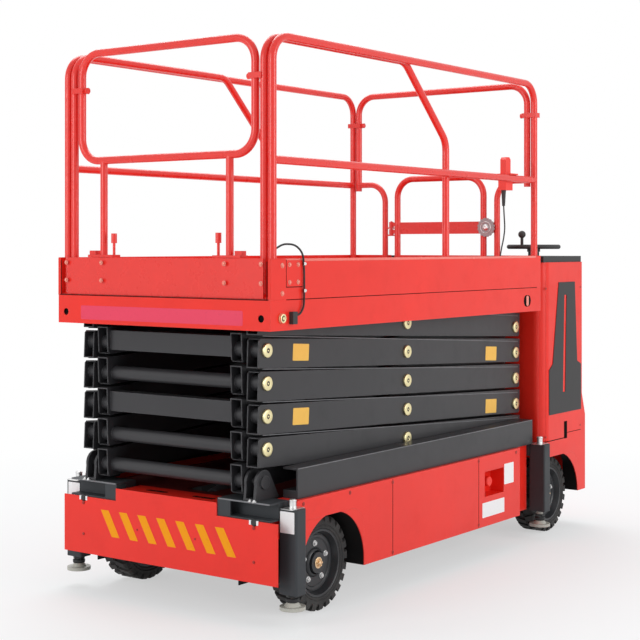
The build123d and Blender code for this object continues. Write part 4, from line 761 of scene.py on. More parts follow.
@dataclass(frozen=True)
class Studio:
    """Camera, pale floor, pale surround and soft lamps."""

    eye: Point = (-5.785, -4.052, 1.522)
    heading: float = -53.75
    lens: float = 80.0
    shift: float = -0.115
    floor_half: float = 40.0
    floor_colour: Colour = (0.89, 0.91, 0.92)
    glow: tuple[float, float] = (0.52, 1.0)
    clear_floor: tuple[float, float] = (1.4, 4.2)
    sky: Colour = (0.96, 0.98, 1.0)
    ambient: float = 0.50
    lamps: tuple[SoftLamp, ...] = (
        SoftLamp("overhead_lamp", (2.0, 2.2, 7.0), (0.0, 0.0, 0.5), 6.0, 300.0),
        SoftLamp("end_lamp", (-8.5, 1.6, 3.2), (-1.0, 0.0, 0.9), 4.0, 215.0),
        SoftLamp("side_lamp", (0.5, -8.5, 3.2), (0.2, -0.5, 0.9), 4.5, 270.0),
    )

    def build(self) -> None:
        """Set up the studio."""
        self.camera()
        self.floor()
        self.world()
        for lamp in self.lamps:
            lamp.build()
        bpy.context.scene.view_settings.view_transform = "Standard"

    def camera(self) -> None:
        """Place the camera level, looking at the near right corner."""
        camera = bpy.data.cameras.new("studio_camera")
        camera.lens = self.lens
        camera.sensor_width = 36.0
        camera.shift_y = self.shift
        holder = put("studio_camera", camera)
        holder.location = self.eye
        holder.rotation_euler = (math.radians(90), 0, math.radians(self.heading))
        bpy.context.scene.camera = holder

    def seen(self, graph: Graph) -> Value:
        """1 for rays from the camera and for mirrored or refracted ones."""
        path = graph.node("ShaderNodeLightPath")
        rays = [Value(graph, path.outputs[f"Is {kind} Ray"]) for kind in ("Camera", "Glossy", "Transmission")]
        return rays[0].most(rays[1]).most(rays[2])

    def floor(self) -> None:
        """Lay a pale floor that keeps a soft shadow."""
        material = bpy.data.materials.new("studio_floor")
        graph = Graph(material)
        plain = graph.node("ShaderNodeBsdfDiffuse", {}, {"Color": self.floor_colour})
        glowing = graph.node("ShaderNodeEmission", {}, {"Color": (1.0, 1.0, 1.0), "Strength": 1.0})
        x, y, _ = graph.axes()
        away = graph.ramp((x * x + y * y) ** 0.5, *self.clear_floor)
        share = self.seen(graph) * (away * (self.glow[1] - self.glow[0]) + self.glow[0])
        inputs = {0: share, 1: plain.outputs[0], 2: glowing.outputs[0]}
        graph.finish(graph.node("ShaderNodeMixShader", {}, inputs))
        half = self.floor_half
        data = bpy.data.meshes.new("studio_floor")
        data.from_pydata([(-half, -half, 0), (half, -half, 0), (half, half, 0), (-half, half, 0)], [], [(0, 1, 2, 3)])
        data.materials.append(material)
        put("studio_floor", data)

    def world(self) -> None:
        """Surround the scene with white for the eye and a plain level of light."""
        world = bpy.data.worlds.new("studio_world")
        graph = Graph(world)
        light = graph.node("ShaderNodeBackground", {}, {"Color": self.sky, "Strength": self.ambient})
        white = graph.node("ShaderNodeBackground", {}, {"Color": (1.0, 1.0, 1.0), "Strength": 1.0})
        inputs = {0: self.seen(graph), 1: light.outputs[0], 2: white.outputs[0]}
        graph.finish(graph.node("ShaderNodeMixShader", {}, inputs))
        bpy.context.scene.world = world


# ---- wheels ----------------------------------------------------------------
@dataclass(frozen=True)
class Wheel:
    """Solid tyre with staggered lugs, on a dished rim with a castle nut.

    The sidewall's rings are pairs from the bead's radius and the tyre's face; the shoulder's are
    pairs from the tread's floor and the face.
    """

    axle: Axle
    side: Side
    lugs: int = 24
    lug_share: float = 0.62
    lug_taper: float = 0.18
    groove: float = 0.011
    sweep: float = 0.10
    bead: float = 0.1415
    wall_rings: Outline = (
        (0, 0.007), (0.004, 0.003), (0.010, 0.002), (0.012, 0.005), (0.016, 0.005), (0.018, 0.001), (0.026, 0.001)
    )
    shoulder: Outline = ((0.012, 0.006), (0.003, 0.012), (0, 0.020))
    rim_lip: Outline = ((0.1375, -0.012), (0.1415, -0.001), (0.1395, 0.0015), (0.134, -0.002), (0.1305, -0.012))
    rim_steps: tuple[Outline, ...] = (
        ((0.118, 0), (0.115, 0.005), (0.104, 0.005), (0.098, 0)),
        ((0.062, 0), (0.058, 0.007), (0.050, 0.011), (0.0485, 0)),
    )
    lip_depth: float = 0.006
    dish_depth: float = 0.034
    studs: int = 5
    stud_circle: float = 0.079
    nut_depth: float = 0.014
    washer: Outline = ((0.024, 0), (0.024, 0.0022), (0.022, 0.003), (0, 0.003))
    stub: Outline = ((0.008, 0), (0.008, 0.011), (0.006, 0.0128), (0, 0.0128))
    split_pin: Outline = ((0.0016, -0.0175), (0.0016, 0.0175))

    def build(self) -> None:
        """Build the wheel's pieces over the plain solids."""
        name = f"{self.axle.value}_{self.side.label}"
        body = f"wheel_{name}"
        extent = Extent.of(f"tyre_{name}")
        place = facing(extent.middle, self.side.out)
        size = (extent.high - extent.low) / 2
        tyre = self.tyre(place, size.z - 0.0005, size.y - 0.0005)
        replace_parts(tyre.build(f"tyre_lugged_{name}", TYRE, body, soften=0.0015), f"tyre_{name}")
        dress(RIM, f"rim_{name}")
        self.nut(place @ moved(0, 0, size.y - self.nut_depth)).build(f"castle_nut_{name}", BRASSY, body, soften=0.0005)
        face = place @ moved(0, 0, size.y - self.dish_depth)
        dish = Shape().turned(self.rim_lip, place @ moved(0, 0, size.y - self.lip_depth), 64, hollow=True)
        for step in self.rim_steps:
            dish.turned(step, face, 64, hollow=True)
        dish.build(f"rim_dish_{name}", RIM, body, soften=0.0008)
        bolts = Shape()
        for index in range(self.studs):
            bolts.bolt(0.017, face @ spun(360 / self.studs * index + 18) @ moved(self.stud_circle, 0, 0), 1.5)
        bolts.build(f"wheel_studs_{name}", STEEL, body)

    def tyre(self, place: Matrix, radius: float, half: float) -> Shape:
        """Carcass with sidewall rings, and lugs that wrap over both shoulders."""
        floor = radius - self.groove
        wall = [(self.bead + r, half - h) for r, h in self.wall_rings]
        wall += [(floor - r, half - h) for r, h in self.shoulder]
        inward = [(r, -h) for r, h in wall]
        shape = Shape().turned(inward + wall[::-1], place, 72, hollow=True)
        for index in range(self.lugs):
            for side in (1, -1):
                angle = 2 * math.pi / self.lugs * (index + side / 4)
                self.lug(shape, place, radius, half, angle, side)
        return shape

    def lug(self, shape: Shape, place: Matrix, radius: float, half: float, angle: float, side: int) -> None:
        """Add one tread block, slanted back towards the middle of the tread.

        Args:
            shape: The tyre under construction.
            place: Placement of the tyre's middle.
            radius: Outer radius of the tread.
            half: Half of the tyre's width.
            angle: Where the block stands, in radians.
            side: 1 for the outer half of the tread, -1 for the inner one.
        """
        floor = radius - self.groove
        outline = (
            (0.002, floor - 0.003),
            (0.002, radius),
            (half - 0.010, radius),
            (half - 0.002, radius - 0.008),
            (half, radius - 0.020),
            (half - 0.002, radius - 0.036),
            (half - 0.009, radius - 0.036),
            (half - 0.016, floor - 0.004),
        )
        width = 2 * math.pi / self.lugs * self.lug_share
        rings = []
        for edge in (-0.5, 0.5):
            points = []
            for axial, reach in outline:
                slant = self.sweep * (0.5 - axial / half)
                narrow = 1 - self.lug_taper * (1 - axial / half)
                turn = angle + width * edge * narrow + slant
                points.append((reach * math.cos(turn), reach * math.sin(turn), side * axial))
            rings.append(shape.ring(points, place))
        shape.skin(*rings)
        shape.cap(*rings)

    def nut(self, seat: Matrix) -> Shape:
        """Castle nut with slots, its washer and a split pin."""
        shape = Shape().turned(self.washer, seat, 24)
        shape.prism(hexagon(0.034), 0.0025, 0.0065, seat)
        for step in range(6):
            shape.prism(rounded(0.0055, 0.008), 0.0062, 0.0125, seat @ spun(60 * step) @ moved(0.0125, 0, 0))
        shape.turned(self.stub, seat, 16)
        return shape.turned(self.split_pin, seat @ moved(0, 0, 0.0105) @ spun(90, "Y"), 8)


# ---- chassis ---------------------------------------------------------------
@dataclass(frozen=True)
class Chassis:
    """Red end panel with slanted stripes, skirts, sunken deck and trays.

    Screws on the end panel are a radius, Y and Z. The arch opening is its half width, top and
    corner radius from the axle; the arch's round is its shift, its height and its radius. Each
    row of arches is an axle, how far out its lips lie, the height of their feet, and the corners
    that are rounded: 1 for the far one, -1 for the near one.
    """

    stripes: int = 7
    stripe_pitch: float = 0.1083
    stripe_width: float = 0.046
    stripe_slant: float = 0.066
    stripe_top: float = 0.378
    stripe_bottom: float = 0.266
    first_stripe_y: float = 0.374
    stud_y: float = 0.48
    stud: Outline = ((0.0135, 0), (0.0135, 0.006), (0.0110, 0.009), (0.004, 0.009), (0, 0.006))
    screws: tuple[Point, ...] = (
        (0.0080, 0.48, 0.397), (0.0080, -0.48, 0.397), (0.0065, 0.48, 0.26), (0.0065, -0.48, 0.26),
        (0.0045, 0.158, 0.315), (0.0045, -0.168, 0.315),
    )
    seam_xs: tuple[float, ...] = (-0.534, 0.223)
    rim_screw_xs: tuple[float, ...] = (-1.19, -0.862, -0.534, 0.223, 0.60)
    sunk_screw: Outline = ((0.0085, 0), (0.0085, 0.0008), (0.0045, 0.0018), (0.0030, 0.0006), (0, 0.0006))
    side_labels: tuple[Patch, ...] = (
        (0.096, 0.102, 0.0007, 0.524, 0.386, 0.003),
        (0.218, 0.072, 0.0007, 0.367, 0.236, 0.003),
    )
    flange_half: float = 0.279
    flange_depth: float = 0.150
    flange_thick: float = 0.003
    drain_slots: tuple[float, ...] = (0.115, -0.150)
    arch_opening: Point = (0.2378, 0.4108, 0.090)
    arch_round: Point = (0.012, 0.192, 0.2255)
    arch_back: float = 0.430
    arches: tuple[tuple[Axle, float, float, tuple[int, ...]], ...] = (
        (Axle.FRONT, 0.600, 0.1565, (-1, 1)),
        (Axle.STEER, 0.595, 0.1905, (1,)),
    )
    knob: Outline = (
        (0.011, 0), (0.011, 0.018), (0.024, 0.024), (0.026, 0.030), (0.026, 0.040), (0.022, 0.045), (0, 0.046)
    )
    knob_place: Point = (0.383, -0.5255, 0.360)

    def build(self) -> None:
        """Dress the solids and add the chassis's small pieces."""
        dress(RED, "tail_boxes", "spine_walls", "end_panel", "skirts")
        # Painted shade: the sunken deck in darkened red.
        dress(SHADED_DECK_RED, "chassis_deck")
        # Painted shade: the bay walls in near-black.
        dress(SHADE_BLACK, "bay_walls")
        dress(TRAY, "cylinder_mount", "battery_pack", "hydraulic_pack")
        dress(AXLE, "front_axle", "steer_axle", "knuckle_left", "knuckle_right")
        face_x = Extent.of("end_panel").low.x
        self.stripe_films(face_x)
        self.panel_fittings(face_x)
        self.skirt_trim()
        self.end_flange(face_x)
        self.arch_shade_liners()
        knob = Shape().turned(self.knob, facing(self.knob_place, Side.RIGHT.out), 28)
        knob.build("pocket_knob", RED_CASE, CHASSIS, soften=0.0006)

    def stripe_films(self, face_x: float) -> None:
        """Stick the row of slanted stripes on the end panel."""
        shape = Shape()
        for index in range(self.stripes):
            top = index * self.stripe_pitch - self.first_stripe_y
            low = top + self.stripe_slant
            outline = (
                (low, self.stripe_bottom),
                (low + self.stripe_width, self.stripe_bottom),
                (top + self.stripe_width, self.stripe_top),
                (top, self.stripe_top),
            )
            shape.prism(outline, 0, 0.0006, facing((face_x, 0, 0), END_ON))
        shape.build("warning_stripes", STRIPE, CHASSIS)

    def panel_fittings(self, face_x: float) -> None:
        """Add the studs in the panel's notches, with their cheeks in white film as painted highlight, and its sunk
        screws.
        """
        studs, cheeks, screws = Shape(), Shape(), Shape()
        for side in Side:
            y = side.value * self.stud_y
            studs.turned(self.stud, facing((face_x + 0.004, y, 0.419), END_ON), 20)
            for middle in (y - 0.0185, y + 0.0185):
                cheeks.box((face_x - 0.003, middle - 0.0048, 0.409), (face_x + 0.002, middle + 0.0048, 0.4275))
        for radius, y, z in self.screws:
            screws.button(radius, facing((face_x, y, z), END_ON))
        studs.build("panel_studs", BLACK, CHASSIS, soften=0.0005)
        # Painted highlight: the stud cheeks in white film stand for the lit plates beside each stud.
        cheeks.build("panel_stud_lit_cheeks", WHITE, CHASSIS, soften=0.0004)
        # Painted shade: the screw heads in darkened red.
        screws.build("panel_screws", SHADED_SCREW_RED, CHASSIS)

    def skirt_trim(self) -> None:
        """Seams, sunk screws and blank labels of the skirts."""
        half = Extent.of("skirts").high.y
        seams = Shape().patches([(0.0032, 0.335, 0.0004, x, 0.3275, 0) for x in self.seam_xs], half)
        screws = Shape().heads(self.sunk_screw, [(x, 0.173) for x in self.seam_xs], half, 16)
        screws.heads(self.sunk_screw, [(x, 0.481) for x in self.rim_screw_xs], half, 16)
        labels = Shape().patches(self.side_labels, half, (Side.RIGHT,))
        seams.build("skirt_seams", DARK, CHASSIS)
        # Painted shade: the screw heads in darkened red.
        screws.build("skirt_screws", SHADED_SCREW_RED, CHASSIS)
        labels.build("skirt_labels", WHITE, CHASSIS)

    def end_flange(self, face_x: float) -> None:
        """Red flange that folds in over the deck, with its two drain slots."""
        deck = Extent.of("chassis_deck")
        top = deck.high.z + self.flange_thick
        near, far = deck.low.x + 0.001, face_x + self.flange_depth
        flange = Shape().box((near, -self.flange_half, deck.high.z), (far, self.flange_half, top))
        slots = Shape()
        for y in self.drain_slots:
            slots.plate(0.024, 0.120, 0.0005, facing(((near + far) / 2, y, top), UP), 0.011)
        flange.build("end_flange", RED, CHASSIS, soften=0.0008)
        slots.build("end_flange_slots", DARK, CHASSIS)

    def arch_shade_liners(self) -> None:
        """Round the wheel arches off: red lips on the sides, and black liners of painted shade behind the front ones.
        """
        lips, liners = Shape(), Shape()
        for axle, edge, low, turns in self.arches:
            axle_x = Extent.of(f"tyre_{axle.value}_right").middle.x
            for side in Side:
                place = facing((axle_x, side.value * edge, 0), Side.RIGHT.out)
                for turn in turns:
                    outline = self.arch_corner(turn, low)
                    lips.prism(outline, 0, side.value * 0.004, place)
                    if axle is Axle.FRONT:
                        # Painted shade: a black sheet along the inside of each front arch.
                        liners.prism(outline, side.value * 0.0042, side.value * (edge - self.arch_back), place)
        lips.build("arch_lips", RED, CHASSIS)
        liners.build("arch_shade_liners", SHADE_BLACK, CHASSIS)

    def arch_corner(self, turn: int, low: float) -> list[tuple[float, float]]:
        """Outline between the opening's own corner and a round arch, from the axle.

        Args:
            turn: 1 for the far corner, -1 for the near one.
            low: Height of its foot.

        Returns:
            Corners across and up, in metres.
        """
        half, top, corner = self.arch_opening
        shift, rise, radius = self.arch_round
        start = math.degrees(math.asin((top - rise) / radius))
        inner = [(shift + turn * x, rise + z) for x, z in arc(0, 0, radius, start, -start, 14)]
        outer = [(turn * x, z) for x, z in arc(half - corner, top - corner, corner, 0, 90, 10)]
        return inner + [(shift + turn * radius, low), (turn * half, low)] + outer


# ---- stabilisers -----------------------------------------------------------
@dataclass(frozen=True)
class Stabilisers:
    """Four black legs with silver feet and their cross beams.

    Each top is the X and Z of a pair of legs' tops.
    """

    tops: Outline = ((-1.2675, 0.475), (0.8475, 0.497))
    leg_inset: float = 0.045
    cap: Outline = (
        (0.0165, 0.002), (0.0165, 0.008), (0.0145, 0.010), (0.0145, 0.028),
        (0.0160, 0.030), (0.0160, 0.034), (0.0110, 0.038), (0, 0.038),
    )
    collar: Outline = (
        (0.0250, 0.030), (0.0275, 0.033), (0.0275, 0.043), (0.0245, 0.047), (0.0172, 0.048), (0.0172, 0.030)
    )
    label_size: tuple[float, float] = (0.071, 0.086)
    label_place: Point = (-1.3001, 0.602, 0.423)
    beam_highlight: tuple[Point, Point] = ((-1.3562, 0.556, 0.4925), (-1.3548, 0.290, 0.4988))
    beam_bolt_ys: tuple[float, float] = (0.455, 0.4765)

    def build(self) -> None:
        """Dress the legs and feet and add their fittings."""
        dress(LEG_BLACK, "stabiliser_legs")
        caps, plates, labels, edges, bolts = Shape(), Shape(), Shape(), Shape(), Shape()
        leg_y = Extent.of("stabiliser_legs").high.y - self.leg_inset
        low, high = self.beam_highlight
        for side in Side:
            mirror = Vector((1, side.value, 1))
            for end in ("near", "far"):
                self.foot(f"foot_{end}_{side.label}")
            for x, top in self.tops:
                place = facing((x, side.value * leg_y, top), UP)
                plates.plate(0.086, 0.061, 0.0022, place, 0.006)
                caps.turned(self.cap, place, 24)
            labels.plate(*self.label_size, 0.0006, facing(Vector(self.label_place) * mirror, END_ON), 0.003)
            # Painted highlight: a pale strip along the lit top edge of each cross beam.
            edges.box(Vector(low) * mirror, Vector(high) * mirror)
            for y in self.beam_bolt_ys:
                bolts.bolt(0.013, facing((-1.3545, side.value * y, high[2]), UP))
        caps.build("leg_caps", STEEL, CHASSIS, soften=0.0006)
        plates.build("leg_top_plates", STEEL, CHASSIS, soften=0.0005)
        labels.build("leg_labels", WHITE, CHASSIS)
        edges.build("beam_highlights", EDGE_HIGHLIGHT, CHASSIS)
        bolts.build("beam_bolts", STEEL, CHASSIS, soften=0.0004)

    def foot(self, node: str) -> None:
        """Dress a foot and add its swivel collar and lock nut."""
        dress(FOOT, node)
        foot = Extent.of(node)
        place = facing((foot.middle.x, foot.middle.y, foot.low.z), UP)
        shape = Shape().turned(self.collar, place, 28, hollow=True)
        shape.prism(hexagon(0.046), 0.050, 0.062, place)
        shape.build(f"swivel_{node}", AXLE, node, soften=0.0006)


# ---- scissor pack ----------------------------------------------------------
@dataclass(frozen=True)
class ArmLine:
    """Middle line of a stage's outer arms at rest, from the near pin to the middle one."""

    near: Vector
    middle: Vector

    @classmethod
    def of(cls, stage: int) -> "ArmLine":
        """The line of a stage, with 1 at the top."""
        near = "platform_level" if stage == 1 else f"inner_arms_{stage - 1}_pivot"
        return cls(joint_place(near), joint_place(f"outer_arms_{stage}_pivot"))

    @property
    def up(self) -> Vector:
        """Upward direction square to the arms."""
        along = (self.middle - self.near).normalized()
        return Vector((-along.z, 0, along.x))


@dataclass(frozen=True)
class ScissorPack:
    """Five stages of crossed hollow arms with round pin heads.

    Each sticker's spot is its stage and its X.
    """

    stages: int = 5
    face_y: float = 0.492
    head_seat: float = 0.0095
    head: Outline = (
        (0.0298, 0), (0.0298, 0.00672), (0.02831, 0.009632), (0.024436, 0.0112),
        (0.010132, 0.0112), (0.008642, 0.00672), (0, 0.00672),
    )
    nipple: Outline = ((0.0045, 0.0056), (0.0040, 0.01008), (0.0025, 0.0122), (0, 0.0122))
    highlight_line: Point = (2.140, 0.0034, 0.0004)
    highlight_rise: float = 0.0578
    sticker: Point = (0.110, 0.070, 0.0006)
    sticker_drop: float = 0.006
    sticker_spots: tuple[tuple[int, float], ...] = ((2, -1.064), (4, -1.064), (2, 0.534), (4, 0.534))
    gland: tuple[Outline, ...] = (
        ((0.0455, 0.585), (0.0475, 0.588), (0.0475, 0.638), (0.0440, 0.643), (0.0258, 0.6445), (0.0255, 0.585)),
        ((0.0455, 0.052), (0.0470, 0.055), (0.0470, 0.075), (0.0455, 0.078)),
    )
    port: Outline = ((0.016, 0.040), (0.016, 0.054), (0.010, 0.055), (0, 0.055))
    port_reaches: tuple[float, float] = (0.11, 0.55)
    rod_eye: float = 0.032

    def build(self) -> None:
        """Dress the arms and add pin heads, painted edge highlights, stickers and the cylinder's fittings."""
        for stage in range(1, self.stages + 1):
            dress(CHARCOAL, f"inner_arms_{stage}", f"outer_arms_{stage}")
            line = ArmLine.of(stage)
            self.pin_heads(stage, line)
            self.arm_edges(stage, line)
        dress(CHARCOAL, "base_rails", "pivot_lugs", "cylinder_barrel")
        dress(CHROME, "cylinder_rod")
        self.rail_highlights()
        for stage, x in self.sticker_spots:
            self.sticker_pair(stage, x)
        self.cylinder_fittings()

    def pin_heads(self, stage: int, line: ArmLine) -> None:
        """Round zinc heads over the pins' ends, with sunk middles and grease nipples."""
        spots = [(spot.x, spot.z) for spot in (line.near, line.middle, 2 * line.middle - line.near)]
        if stage == 1:
            spots = spots[1:]
        if stage == self.stages:
            spots = spots[:2]
        y = Extent.of("outer_arms_3").high.y - self.head_seat
        shape = Shape().heads(self.head, spots, y, 32).heads(self.nipple, spots, y, 12)
        shape.build(f"pin_heads_{stage}", ZINC, f"outer_arms_{stage}", soften=0.0008)

    def arm_edges(self, stage: int, line: ArmLine) -> None:
        """Painted highlights: pale lines along the lit top corners of a stage's outer arms."""
        edges = Shape()
        for side in Side:
            middle = line.middle + line.up * self.highlight_rise + side.out * self.face_y
            edges.plate(*self.highlight_line, facing(middle, side.out, line.up), 0.001)
        edges.build(f"arm_edges_{stage}", EDGE_HIGHLIGHT, f"outer_arms_{stage}")

    def rail_highlights(self) -> None:
        """Painted highlights: pale lines along the lit top corners of the base rails."""
        rails = Extent.of("base_rails")
        length = rails.high.x - rails.low.x - 0.004
        row = (length, 0.0040, 0.0004, rails.middle.x, rails.high.z - 0.0024, 0.001)
        Shape().patches((row,), rails.high.y).build("rail_highlights", EDGE_HIGHLIGHT, CHASSIS)

    def sticker_pair(self, stage: int, x: float) -> None:
        """Blank yellow films that follow the arm's slope on both outer faces."""
        line = ArmLine.of(stage)
        slope = (line.middle.z - line.near.z) / (line.middle.x - line.near.x)
        z = line.near.z + slope * (x - line.near.x) - self.sticker_drop
        shape = Shape()
        for side in Side:
            shape.plate(*self.sticker, facing((x, side.value * self.face_y, z), side.out, line.up), 0.004)
        name = f"yellow_label_{stage}_{'near' if x < 0 else 'far'}"
        shape.build(name, YELLOW, f"outer_arms_{stage}")

    def cylinder_fittings(self) -> None:
        """Gland rings and ports of the lift cylinder."""
        foot = joint_place("cylinder_foot")
        rod = Extent.of("cylinder_rod").high
        eye = Vector((rod.x - self.rod_eye, 0, rod.z - self.rod_eye))
        place = facing(foot, eye - foot, Side.LEFT.out)
        gland, ports = Shape(), Shape()
        for ring in self.gland:
            gland.turned(ring, place, 40, hollow=True)
        for reach in self.port_reaches:
            ports.turned(self.port, place @ moved(0, 0, reach) @ spun(90, "X"), 20)
        gland.build("cylinder_gland", LEG_BLACK, "cylinder_barrel", soften=0.001)
        ports.build("cylinder_ports", STEEL, "cylinder_barrel", soften=0.0006)


# ---- platform --------------------------------------------------------------
def round_head(radius: float) -> Outline:
    """Profile of a painted round bolt head on its washer."""
    rim, crown = radius * 1.15, radius * 0.80
    return ((rim, 0), (rim, 0.0010), (radius * 0.86, 0.0014), (crown, 0.0045), (radius * 0.45, 0.0068), (0, 0.0072))


@dataclass(frozen=True)
class Platform:
    """Red platform frame, chequered deck, toe boards and their fastenings.

    Bolts and lead clips are pairs of X and Z on a side, or of Y and Z on the end board. Each
    fold of a clip is its span in X and in Y, from the clip's middle and the board.
    """

    near_x: float = -1.400
    half: float = 0.595
    beam_top: float = 1.309
    toe_top: float = 1.474
    band: Point = (0.910, 0.060, 0.0006)
    band_z: float = 1.235
    tie_hole: Outline = ((0.0149, 0), (0.0149, 0.004), (0.0135, 0.004), (0.0135, 0.0005), (0, 0.0005))
    angle_end_x: float = -1.302
    angle_thick: float = 0.003
    angle_bolts: Outline = ((-1.327, 1.446), (-1.327, 1.335))
    tie_plate: Patch = (0.108, 0.106, 0.003, -1.247, 1.414, 0.004)
    tie_bolts: Outline = ((-1.279, 1.379), (-1.279, 1.449), (-1.223, 1.379), (-1.223, 1.449))
    end_bolt_ys: tuple[float, ...] = (0.547, 0.334, -0.357, -0.547)
    end_bolt_zs: tuple[float, ...] = (1.452, 1.375)
    side_joint_shadows: tuple[Patch, ...] = (
        (2.130, 0.0035, 0.0003, -0.232, 1.309, 0),
        (0.0026, 0.110, 0.0032, -1.3005, 1.414, 0),
        (0.110, 0.0030, 0.0032, -1.247, 1.3595, 0),
    )
    hem: Patch = (2.120, 0.0105, 0.0010, -0.240, 1.468, 0.002)
    keeper_x: float = -1.327
    keeper: Outline = ((0.0216, 0), (0.0216, 0.0065), (0.0195, 0.0095), (0.013, 0.0108), (0.012, 0.0098), (0, 0.0098))
    roller_slot: Patch = (0.074, 0.058, 0.0006, 0.728, 1.243, 0.027)
    roller_key: Patch = (0.024, 0.052, 0.0030, 0.728, 1.243, 0.009)
    lead_clips: Outline = ((-1.190, 1.452), (-1.189, 1.343))
    clip_folds: tuple[tuple[float, float, float, float], ...] = (
        (-0.0065, 0.0065, -0.0142, -0.0128),
        (0.0052, 0.0066, -0.0142, 0),
        (0.0052, 0.0230, -0.0016, 0),
    )
    clip_half: float = 0.006
    clip_bolt_x: float = 0.0155

    def build(self) -> None:
        """Dress the platform's solids and add its plates and bolts."""
        dress(RED, "platform_frame", "toe_boards")
        dress(RED_DECK, "platform_deck")
        self.end_beam()
        self.corner_plates()
        self.board_joint_shadows()
        self.pins_and_slots()
        self.switch()

    def end_beam(self) -> None:
        """Blank crimson band, and dark linings that paint the shade inside the tie holes."""
        band = Shape().plate(*self.band, facing((self.near_x, 0, self.band_z), END_ON), 0.006)
        band.build("end_beam_band", MAGENTA, PLATFORM)
        lining = Shape()
        for y in (0.548, -0.548):
            lining.turned(self.tie_hole, facing((self.near_x + 0.0075, y, 1.236), END_ON), 24)
        lining.build("tie_hole_shade_linings", DARK, PLATFORM)

    def corner_plates(self) -> None:
        """Bolted angles on the near corners, the four-bolt plates beside them, and the end board's bolts."""
        angles, plates, bolts, end_bolts = Shape(), Shape(), Shape(), Shape()
        for side in Side:
            inner, outer = side.value * (self.half - 0.012), side.value * (self.half + self.angle_thick)
            angles.box((self.near_x + 0.0005, inner, self.beam_top), (self.angle_end_x, outer, self.toe_top - 0.002))
        plates.patches((self.tie_plate,), self.half)
        bolts.heads(round_head(0.0095), self.angle_bolts, self.half + self.angle_thick, 20)
        bolts.heads(round_head(0.0085), self.tie_bolts, self.half + self.angle_thick, 20)
        for y in self.end_bolt_ys:
            for z in self.end_bolt_zs:
                end_bolts.turned(round_head(0.0085), facing((self.near_x, y, z), END_ON), 20)
        angles.build("corner_angles", RED, PLATFORM, soften=0.0008)
        plates.build("tie_plates", RED, PLATFORM, soften=0.0008)
        # Painted highlight: the bolt heads in paler red.
        bolts.build("corner_bolts", BOLT_HIGHLIGHT_RED, PLATFORM, soften=0.0003)
        end_bolts.build("end_board_bolts", BOLT_HIGHLIGHT_RED, PLATFORM, soften=0.0003)

    def board_joint_shadows(self) -> None:
        """Painted shadow in the joints under and beside the boards, and painted highlight on the side boards' rolled
        hems.
        """
        joint_shadows = Shape()
        joint_shadows.plate(2 * self.half - 0.020, 0.0050, 0.0004, facing((self.near_x, 0, self.beam_top + 0.0015), END_ON))
        for y in (self.half - 0.017, 0.017 - self.half):
            joint_shadows.plate(0.0045, 0.150, 0.0004, facing((self.near_x, y, 1.387), END_ON))
        joint_shadows.patches(self.side_joint_shadows, self.half).build("board_joint_shadows", JOINT_SHADOW_RED, PLATFORM)
        Shape().patches((self.hem,), self.half).build("lit_board_hems", HEM_HIGHLIGHT_RED, PLATFORM, soften=0.0004)

    def pins_and_slots(self) -> None:
        """Zinc keeper bolts of the platform's pins and the slots by the rollers."""
        pin_z = joint_place("platform_level").z
        heads = Shape().heads(self.keeper, ((self.keeper_x, pin_z),), self.half + 0.0002, 32)
        for side in Side:
            place = facing((self.keeper_x, side.value * self.half, pin_z), side.out)
            heads.prism(hexagon(0.014), 0.0090, 0.0122, place)
        heads.build("platform_keeper_bolts", ZINC, PLATFORM, soften=0.0006)
        Shape().patches((self.roller_slot,), self.half).build("roller_slots", DARK, PLATFORM)
        # Painted highlight: the roller keys in paler red.
        Shape().patches((self.roller_key,), self.half).build("roller_keys", BOLT_HIGHLIGHT_RED, PLATFORM, soften=0.0008)

    def switch(self) -> None:
        """Dress the limit switch's fittings and clip its lead to the toe board."""
        dress(BLACK, "cable_fittings")
        dress(HOSE, "switch_lead")
        clips, bolts = Shape(), Shape()
        for x, z in self.lead_clips:
            for x0, x1, y0, y1 in self.clip_folds:
                low = (x + x0, y0 - self.half, z - self.clip_half)
                clips.box(low, (x + x1, y1 - self.half, z + self.clip_half))
            place = facing((x + self.clip_bolt_x, -self.half - 0.0014, z), Side.RIGHT.out)
            bolts.turned(round_head(0.0055), place, 16)
        clips.build("lead_clips", STEEL, PLATFORM, soften=0.0003)
        bolts.build("lead_clip_bolts", STEEL, PLATFORM, soften=0.0003)


# ---- guard rails -----------------------------------------------------------
@dataclass(frozen=True)
class GuardRails:
    """Bent red tubes round the fixed platform and the sliding deck."""

    post_xs: tuple[float, float] = (-1.360, 0.843)
    foot_span: tuple[float, float] = (0.5287, 0.5897)
    foot_half: float = 0.022
    foot_zs: tuple[float, float] = (1.314, 1.320)
    hub: Outline = ((0.017, 0), (0.017, 0.003), (0.012, 0.007), (0.006, 0.008), (0.004, 0.0055), (0, 0.0055))
    bead_radius: float = 0.030
    bead_thick: float = 0.0018

    def build(self) -> None:
        """Dress the rails and add their post feet and the latch's hub."""
        dress(RED_RAIL, "guard_rail_left", "guard_rail_right", "guard_rail_far", "gate")
        dress(RED_RAIL, "slide_deck", "slide_loop", "slide_rail_left", "slide_rail_right")
        dress(RED_CASE, "control_box")
        dress(DISC, "latch_disc")
        self.post_feet()
        self.latch_hub()

    def post_feet(self) -> None:
        """Welded foot plates of the fixed posts."""
        feet = Shape()
        (inner, outer), (low, high) = self.foot_span, self.foot_zs
        for side in Side:
            for x in self.post_xs:
                feet.box((x - self.foot_half, side.value * inner, low), (x + self.foot_half, side.value * outer, high))
        feet.build("post_feet", RED, PLATFORM, soften=0.001)

    def latch_hub(self) -> None:
        """Domed screw and a moulded bead in the middle of the gate's latch disc."""
        disc = Extent.of("latch_disc")
        place = facing((disc.low.x, disc.middle.y, disc.middle.z), END_ON)
        bead = [(self.bead_radius + r, h + 0.0008) for r, h in circle(self.bead_thick, 8)]
        hub = Shape().turned(self.hub, place, 28).turned(bead, place, 40, hollow=True)
        hub.build("latch_hub", STEEL, "gate", soften=0.0005)


